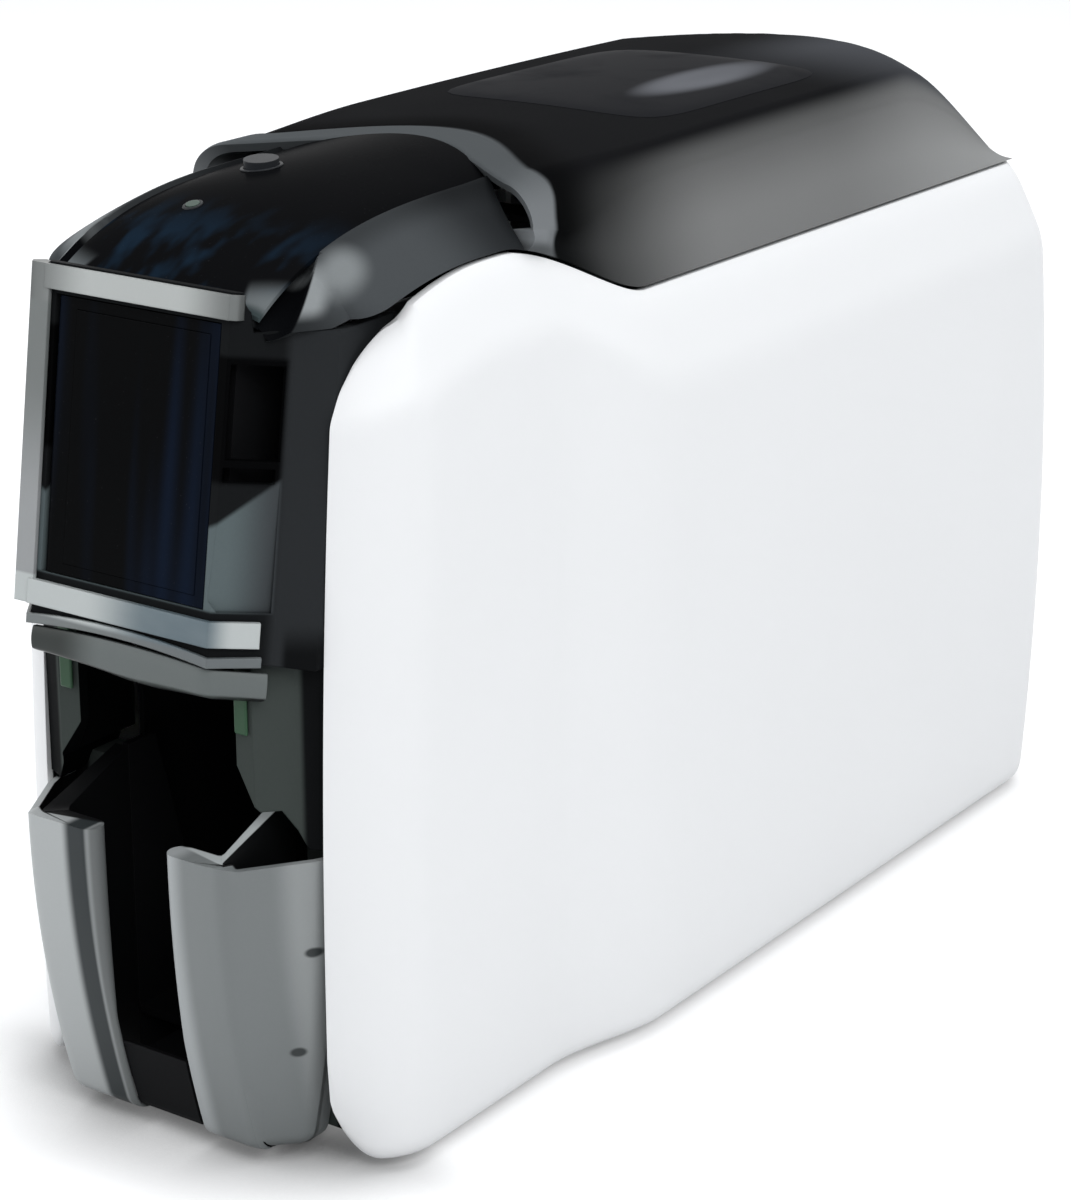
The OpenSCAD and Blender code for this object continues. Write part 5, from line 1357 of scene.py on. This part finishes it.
@dataclass
class Jaws:
    """Double-walled jaws of the output hopper: a rounded slot edge, a bowed front and a pocket behind it."""

    lines: GuideCurves = LINES
    height: float = 97.0
    foot: float = 4.5
    deep: float = 8.0
    wall: float = 2.1
    slot: dict[Hand, float] = field(default_factory=lambda: {Hand.RIGHT: 13.6, Hand.LEFT: 12.0})
    well: float = 28.4
    ridge_wall: float = 4.4
    ridge: float = 11.0
    flank_drop: float = 1.8
    pocket_floor: float = 22.0
    flank_x: dict[Hand, float] = field(default_factory=lambda: {Hand.RIGHT: 31.5, Hand.LEFT: 35.5})
    rear_run: float = 34.0
    rounding: float = 5.0

    def back(self, z: Array) -> Array:
        """How far the front curves back: a parabola down from the top, and a quarter circle at the foot."""
        low = np.clip(z - self.foot, 0, self.rounding)
        curl = self.rounding - np.sqrt(np.maximum(0, self.rounding ** 2 - (self.rounding - low) ** 2))
        return 14 * np.clip((self.height - z) / (self.height - self.foot), 0, 1) ** 2 + curl

    def flank(self, hand: Hand) -> tuple[Array, Array]:
        """Plan points of a jaw's flank and the way each moves as the front curves back."""
        c = self.lines
        corner = np.array([self.flank_x[hand] + 3, c.front_y + 3.2])
        turn = np.array([c.front_half - c.corner[0] - c.fit - 0.8, c.panel_front - 2.5])
        t = np.linspace(0.1, 0.86, 20)[:, None]
        points = np.concatenate([corner + (turn - corner) * t, [turn + (-0.2, 1.2), turn + (0, 4)]])
        drift = np.concatenate(
            [np.array([-0.2, 0.95]) + np.array([-0.5, -0.85]) * t, [(-0.7, 0.1), (-0.7, 0.0)]])
        return points, drift

    def loop(self, z: Array, inner: bool, hand: Hand) -> Array:
        """Plan of a jaw at the heights given, from the rear of its inner wall round to its flank's rear.

        Args:
            z: heights, a column for each point of the plan.
            inner: gives the pocket's outline in place of the outside.
            hand: the jaw, drawn on the right whichever it is.
        Returns:
            Grid of plan points.
        """
        c = self.lines
        a = c.front_y + self.back(z)
        b = np.maximum(c.front_y + self.deep, a + self.wall + 0.2)
        rear = c.front_y + self.rear_run
        r = (b - a) / 2
        arc = np.radians(np.linspace(90, 270, 21))[None, :]
        share = np.linspace(0, 1, 12)[None, :]
        points, drift = self.flank(hand)
        face, slot = self.flank_x[hand], self.slot[hand]
        push = self.wall * np.array([-0.74, 0.67]) if inner else np.zeros(2)
        flank_x = points[:, 0] + self.back(z)[:, -24:-2] * drift[:, 0] + push[0]
        flank_y = points[:, 1] + self.back(z)[:, -24:-2] * drift[:, 1] + push[1]
        end_x = points[-2, 0] + 0.2 - 0.7 * self.back(z)[:, -2:] - (self.wall if inner else 0.0)
        end_y = np.array([rear - 6, rear])[None, :] * np.ones_like(end_x)
        parts_x, parts_y = [], []
        if inner:
            corner_y = a + self.wall + 1
            parts_x.append(np.full_like(z[:, :12], self.well + self.ridge_wall))
            parts_y.append(rear + (corner_y[:, :12] - rear) * share)
            parts_x.append(np.full_like(z[:, 12:36], self.well + self.ridge_wall))
            parts_y.append(corner_y[:, 12:36])
            along = np.linspace(0, 1, 5)[None, 1:]
            parts_x.append(self.well + self.ridge_wall
                           + (flank_x[:, :1] - self.well - self.ridge_wall) * (along * 0.8))
            parts_y.append(corner_y[:, 36:40] + (flank_y[:, :1] - corner_y[:, 36:40]) * (along * 0.8))
        else:
            parts_x.append(np.full_like(z[:, :12], self.well))
            parts_y.append(rear + (b[:, :12] + 1.5 - rear) * share)
            parts_x.append(np.array([self.well - 0.6, self.well - 1.5, slot + self.deep])[None, :]
                           * np.ones_like(z[:, 12:15]))
            parts_y.append(b[:, 12:15] + np.array([0.5, 0.0, 0.0])[None, :])
            parts_x.append(slot + r[:, 15:36] + r[:, 15:36] * np.cos(arc))
            parts_y.append((a + b)[:, 15:36] / 2 + r[:, 15:36] * np.sin(arc))
            parts_x.append(np.array([slot + self.deep + 2, face - 3, face - 0.8, face + 1])[None, :]
                           * np.ones_like(z[:, 36:40]))
            parts_y.append(a[:, 36:40] + np.array([0.0, 0.0, 0.35, 1.2])[None, :])
        x = np.concatenate(parts_x + [flank_x, end_x], 1)
        y = np.concatenate(parts_y + [flank_y, end_y], 1)
        return np.stack([x, y, z], -1)

    def rim(self, cols: int, hand: Hand) -> Array:
        """Height of a jaw's rim at each point of its plan: rising along the inner wall, lower on the flank."""
        c = self.lines
        plan = self.loop(np.full((1, cols), self.height), False, hand)[0]
        rise = self.ridge * np.clip(
            (plan[:, 1] - c.front_y - self.deep) / (self.rear_run - self.deep + 1), 0, 1)
        fall = self.flank_drop * ease((plan[:, 0] - self.flank_x[hand] - 0.5) / 1.5)
        return np.where(np.arange(cols) < 12, self.height + rise, self.height - fall)

    def build(self) -> None:
        """Makes both jaws: a wall from foot to rim with its pocket, and the pocket's floor."""
        cols = 64
        level = np.concatenate(
            [1 - np.cos(np.linspace(0, math.pi / 2, 14)), np.linspace(1, 17, 40)[1:]])[:, None] / 17
        place = np.broadcast_to(np.arange(cols) / cols, (len(level), cols))
        for hand in Hand:
            z = self.foot + (self.rim(cols, hand)[None, :] - self.foot) * level
            floor = self.loop(np.full((1, cols), self.pocket_floor), True, hand)[0]
            Piece("hopper_jaw_" + hand.value).shell(
                self.loop(z, False, hand), self.loop(z, True, hand),
                np.stack([np.zeros_like(place), place], -1), np.stack([np.ones_like(place), place], -1)
            ).slab(floor[np.r_[0, 36:cols]], 2.0).finish(
                "hopper", JAW_GREY, ("hopper_jaws",) if hand is Hand.RIGHT else (), "hopper_jaws", 0.5, 3, hand)


@dataclass
class MouthLip:
    """Lip over the mouth of the front tower: a bead with a guide that slopes back under it."""

    lines: GuideCurves = LINES
    left: float = -30.5
    flank_x: float = 31.5
    flank_turn: tuple[float, float] = (42.5, 13.5)
    flank_share: float = 0.93
    height: float = 154.2
    wall: float = 1.4

    def path(self) -> tuple[Array, Array]:
        """Plan path on the tower's face, across and into it, and the unit normals that point out."""
        face = np.linspace(self.left, self.flank_x - 3, 40)
        share = np.linspace(0.18, self.flank_share, 14)[:, None]
        corner = np.array([self.flank_x, 0.0])
        flank = corner + (np.array(self.flank_turn) - corner) * share
        bend = np.linspace(0, 1, 7)[1:-1, None]
        first, last = np.array([face[-1], 0.0]), flank[0]
        turn = (1 - bend) ** 2 * first + 2 * bend * (1 - bend) * corner + bend ** 2 * last
        path = np.concatenate([np.stack([face, np.zeros_like(face)], -1), turn, flank])
        tangent = np.gradient(path, axis=0)
        tangent /= np.linalg.norm(tangent, axis=1, keepdims=True)
        return path, np.stack([tangent[:, 1], -tangent[:, 0]], -1)

    def skin(self, inset: float) -> tuple[Array, Array]:
        """One skin of the lip.

        Down the section the surface swells out in half a sine over the bead, then slopes back; its
        height follows an arch, a parabola that falls to both ends.

        Args:
            inset: how far in the skin lies.
        Returns:
            Grid of points, path steps by section points, and its map: place along the path in
            tenths of a metre and share of the way down.
        """
        path, normal = self.path()
        down = np.linspace(0, 1, 26)[None, :]
        bead = 0.65 * np.sin(math.pi * np.clip(down / 0.7, 0, 1)) ** 0.7
        slope = 8.0 * np.clip((down - 0.7) / 0.3, 0, 1) ** 1.3
        out = bead - slope - inset
        spot = path[:, None, :] + normal[:, None, :] * out[..., None]
        arch = self.height - 2.0 * (path[:, :1] / 42) ** 2
        reach = 12.0 - 3.0 * np.clip(-path[:, :1] / 30, 0, 1) - 2.4 * np.clip((path[:, :1] - 8) / 26, 0, 1)
        up = (arch - self.lines.tower_foot[1]) - reach * down
        grid = self.lines.on_tower(spot[..., 0], spot[..., 1], up)
        return grid, np.stack(
            [np.broadcast_to(path[:, :1] / 100, up.shape), np.broadcast_to(down, up.shape)], -1)

    def build(self) -> None:
        """Makes the lip."""
        (outer, flow), (inner, _) = self.skin(0.0), self.skin(self.wall)
        Piece("mouth_lip").shell(outer, inner, flow).finish("base", LIP_GREY, (), "front_fascia", 0.2, 2)


@dataclass
class TouchTabs:
    """Green touch tabs inside the mouth's cheeks, drawn down to where a finger meets them."""

    longer: float = 11.0
    wide: float = 4.4

    def build(self) -> None:
        """Makes both tabs: an upright slab with rounded edges where each tab stands."""
        low, high = (np.array(corner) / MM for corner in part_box("touch_tabs"))
        tabs = Piece("touch_tab_pair")
        for side in (-1.0, 1.0):
            x = np.array([high[0] - self.wide, high[0], high[0], high[0] - self.wide]) * side
            y = np.array([low[1], low[1], high[1], high[1]])
            loop = np.stack([x, y, np.full(4, high[2])], -1)
            tabs.slab(loop if side > 0 else loop[::-1], high[2] - low[2] + self.longer)
        tabs.finish("base", TAB_GREEN, ("touch_tabs",), "touch_tabs", 0.8, 3)


# ---------------------------------------------------------------- dressing of the frame's own parts
@dataclass
class Dressing:
    """Which finish each part of the frame wears."""

    plan: dict[str, Finish] = field(default_factory=lambda: {
        "base_pan": PAN_BLACK, "feet": DARK_RUBBER, "rear_cover": DARK_SATIN, "socket_bezel": DARK_SATIN,
        "front_fascia": FASCIA, "hopper_trim": TRIM_SILVER, "power_button": BUTTON_GREY,
        "status_light": LAMP_LENS,
        "right_plate": ZINC, "left_plate": ZINC, "tie_bars": GROUND_STEEL, "plate_screws": GROUND_STEEL,
        "card_tray": TRAY_BLACK, "card_weight": TRAY_BLACK, "input_door": DOOR_BLACK, "door_window": DOOR_BLACK,
        "output_hopper": MOUTH_BLACK, "touch_tabs": TAB_GREEN, "hopper_bay": MOUTH_BLACK,
        "exit_chute": MOUTH_BLACK,
        "lid_liner": LINER_GREY, "hinge_pins": GROUND_STEEL, "head_bracket": ZINC, "print_head": HEAD_METAL,
        "ribbon_frame": LINER_GREY, "supply_spool": SPOOL_WHITE, "supply_ribbon": SUPPLY_FILM,
        "takeup_spool": SPOOL_WHITE, "takeup_ribbon": TAKEUP_FILM, "idler_pins": GROUND_STEEL,
        "cleaning_roller": TACKY_BLUE, "pinch_roller": DARK_RUBBER, "drive_motor": MOTOR_BLACK,
        "motor_pinion": BRASS, "main_board": RESIST, "rear_sockets": SOCKET_METAL})

    def finish_for(self, node: str) -> Finish:
        """The finish of a node, by name or by its kind."""
        if node in self.plan:
            return self.plan[node]
        return DARK_RUBBER if node.endswith("_roller") else GEAR_IVORY

    def build(self) -> None:
        """Puts a finish on every part that no new piece stands for."""
        for name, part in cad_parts.items():
            part.data.materials.clear()
            part.data.materials.append(self.finish_for(name).material())


# ---------------------------------------------------------------- studio
@dataclass
class Studio:
    """Plain white set: floor, three soft lamps and the camera."""

    place: tuple[float, float, float] = (0.5479, -0.7933, 0.4405)
    azimuth: float = 34.9625
    elevation: float = 18.9912
    lens: float = 95.02

    def camera(self) -> None:
        """Camera at the fitted place, looking along its fitted direction."""
        a, e = math.radians(self.azimuth), math.radians(self.elevation)
        back = np.array([math.sin(a) * math.cos(e), -math.cos(a) * math.cos(e), math.sin(e)])
        right = np.array([math.cos(a), math.sin(a), 0.0])
        up = np.cross(back, right)
        data = bpy.data.cameras.new("camera")
        data.lens, data.sensor_width, data.clip_start = self.lens, 36.0, 0.01
        camera = bpy.data.objects.new("camera", data)
        turn = Matrix((right, up, back)).transposed().to_4x4()
        turn.translation = self.place
        camera.matrix_world = turn
        bpy.context.scene.collection.objects.link(camera)
        bpy.context.scene.camera = camera

    def lamp(self, name: str, place: Sequence[float], target: Sequence[float], size: Sequence[float],
             power: float) -> None:
        """A rectangular soft lamp.

        Args:
            name: name of the lamp.
            place: where it hangs.
            target: what it faces.
            size: width and height.
            power: watts.
        """
        data = bpy.data.lights.new(name, "AREA")
        data.shape, data.size, data.size_y, data.energy = "RECTANGLE", size[0], size[1], power
        lamp = bpy.data.objects.new(name, data)
        back = np.array(place) - np.array(target)
        back = back / np.linalg.norm(back)
        right = np.cross((0.0, 0.0, 1.0), back) if abs(back[2]) < 0.99 else np.array((1.0, 0.0, 0.0))
        right = right / np.linalg.norm(right)
        turn = Matrix((right, np.cross(back, right), back)).transposed().to_4x4()
        turn.translation = place
        lamp.matrix_world = turn
        bpy.context.scene.collection.objects.link(lamp)

    def floor(self) -> None:
        """A wide sheet of white paper."""
        mesh = bpy.data.meshes.new("floor")
        mesh.from_pydata([(-6, -6, 0), (6, -6, 0), (6, 6, 0), (-6, 6, 0)], [], [(0, 1, 2, 3)])
        sheet = bpy.data.objects.new("floor", mesh)
        bpy.context.scene.collection.objects.link(sheet)
        mesh.materials.append(Paper("paper").material())

    def world(self) -> None:
        """Even soft sky, white for the camera and for what mirrors or lets light through."""
        world = bpy.data.worlds.new("studio")
        bpy.context.scene.world = world
        world.use_nodes = True
        tree = world.node_tree
        tree.nodes.clear()
        out = tree.nodes.new("ShaderNodeOutputWorld")
        ray = tree.nodes.new("ShaderNodeLightPath")
        mix = tree.nodes.new("ShaderNodeMixShader")
        for number, (colour, strength) in enumerate((((0.9, 0.93, 0.97, 1), 0.55), ((1, 1, 1, 1), 1.0))):
            sky = tree.nodes.new("ShaderNodeBackground")
            sky.inputs[0].default_value, sky.inputs[1].default_value = colour, strength
            tree.links.new(sky.outputs[0], mix.inputs[number + 1])
        seen = ray.outputs["Is Camera Ray"]
        for name in ("Is Glossy Ray", "Is Transmission Ray"):
            either = tree.nodes.new("ShaderNodeMath")
            either.operation = "MAXIMUM"
            tree.links.new(seen, either.inputs[0])
            tree.links.new(ray.outputs[name], either.inputs[1])
            seen = either.outputs[0]
        tree.links.new(seen, mix.inputs[0])
        tree.links.new(mix.outputs[0], out.inputs[0])

    def build(self) -> None:
        """Sets the stage."""
        bpy.context.scene.view_settings.view_transform = "Standard"
        self.camera()
        self.floor()
        self.world()
        self.lamp("key", (1.6, -1.2, 1.7), (0.0, 0.0, 0.12), (1.6, 1.2), 26)
        self.lamp("left", (-1.7, -1.3, 1.1), (0.0, -0.1, 0.15), (0.9, 1.4), 14)
        self.lamp("top", (0.1, 0.5, 1.9), (0.0, 0.0, 0.2), (1.4, 1.0), 12)


def main() -> None:
    """Builds and dresses the printer, part by part."""
    logging.basicConfig(level=logging.INFO, format="%(name)s: %(message)s")
    stages: list[tuple[str, object]] = [
        ("studio", Studio()), ("frame parts", Dressing()), ("side panels", SidePanels()),
        ("console", Console()), ("lid", Lid()), ("hopper jaws", Jaws()),
        ("mouth lip", MouthLip()), ("touch tabs", TouchTabs())]
    for title, stage in stages:
        stage.build()
        log.info("%s done", title)


if __name__ == "__main__":
    main()
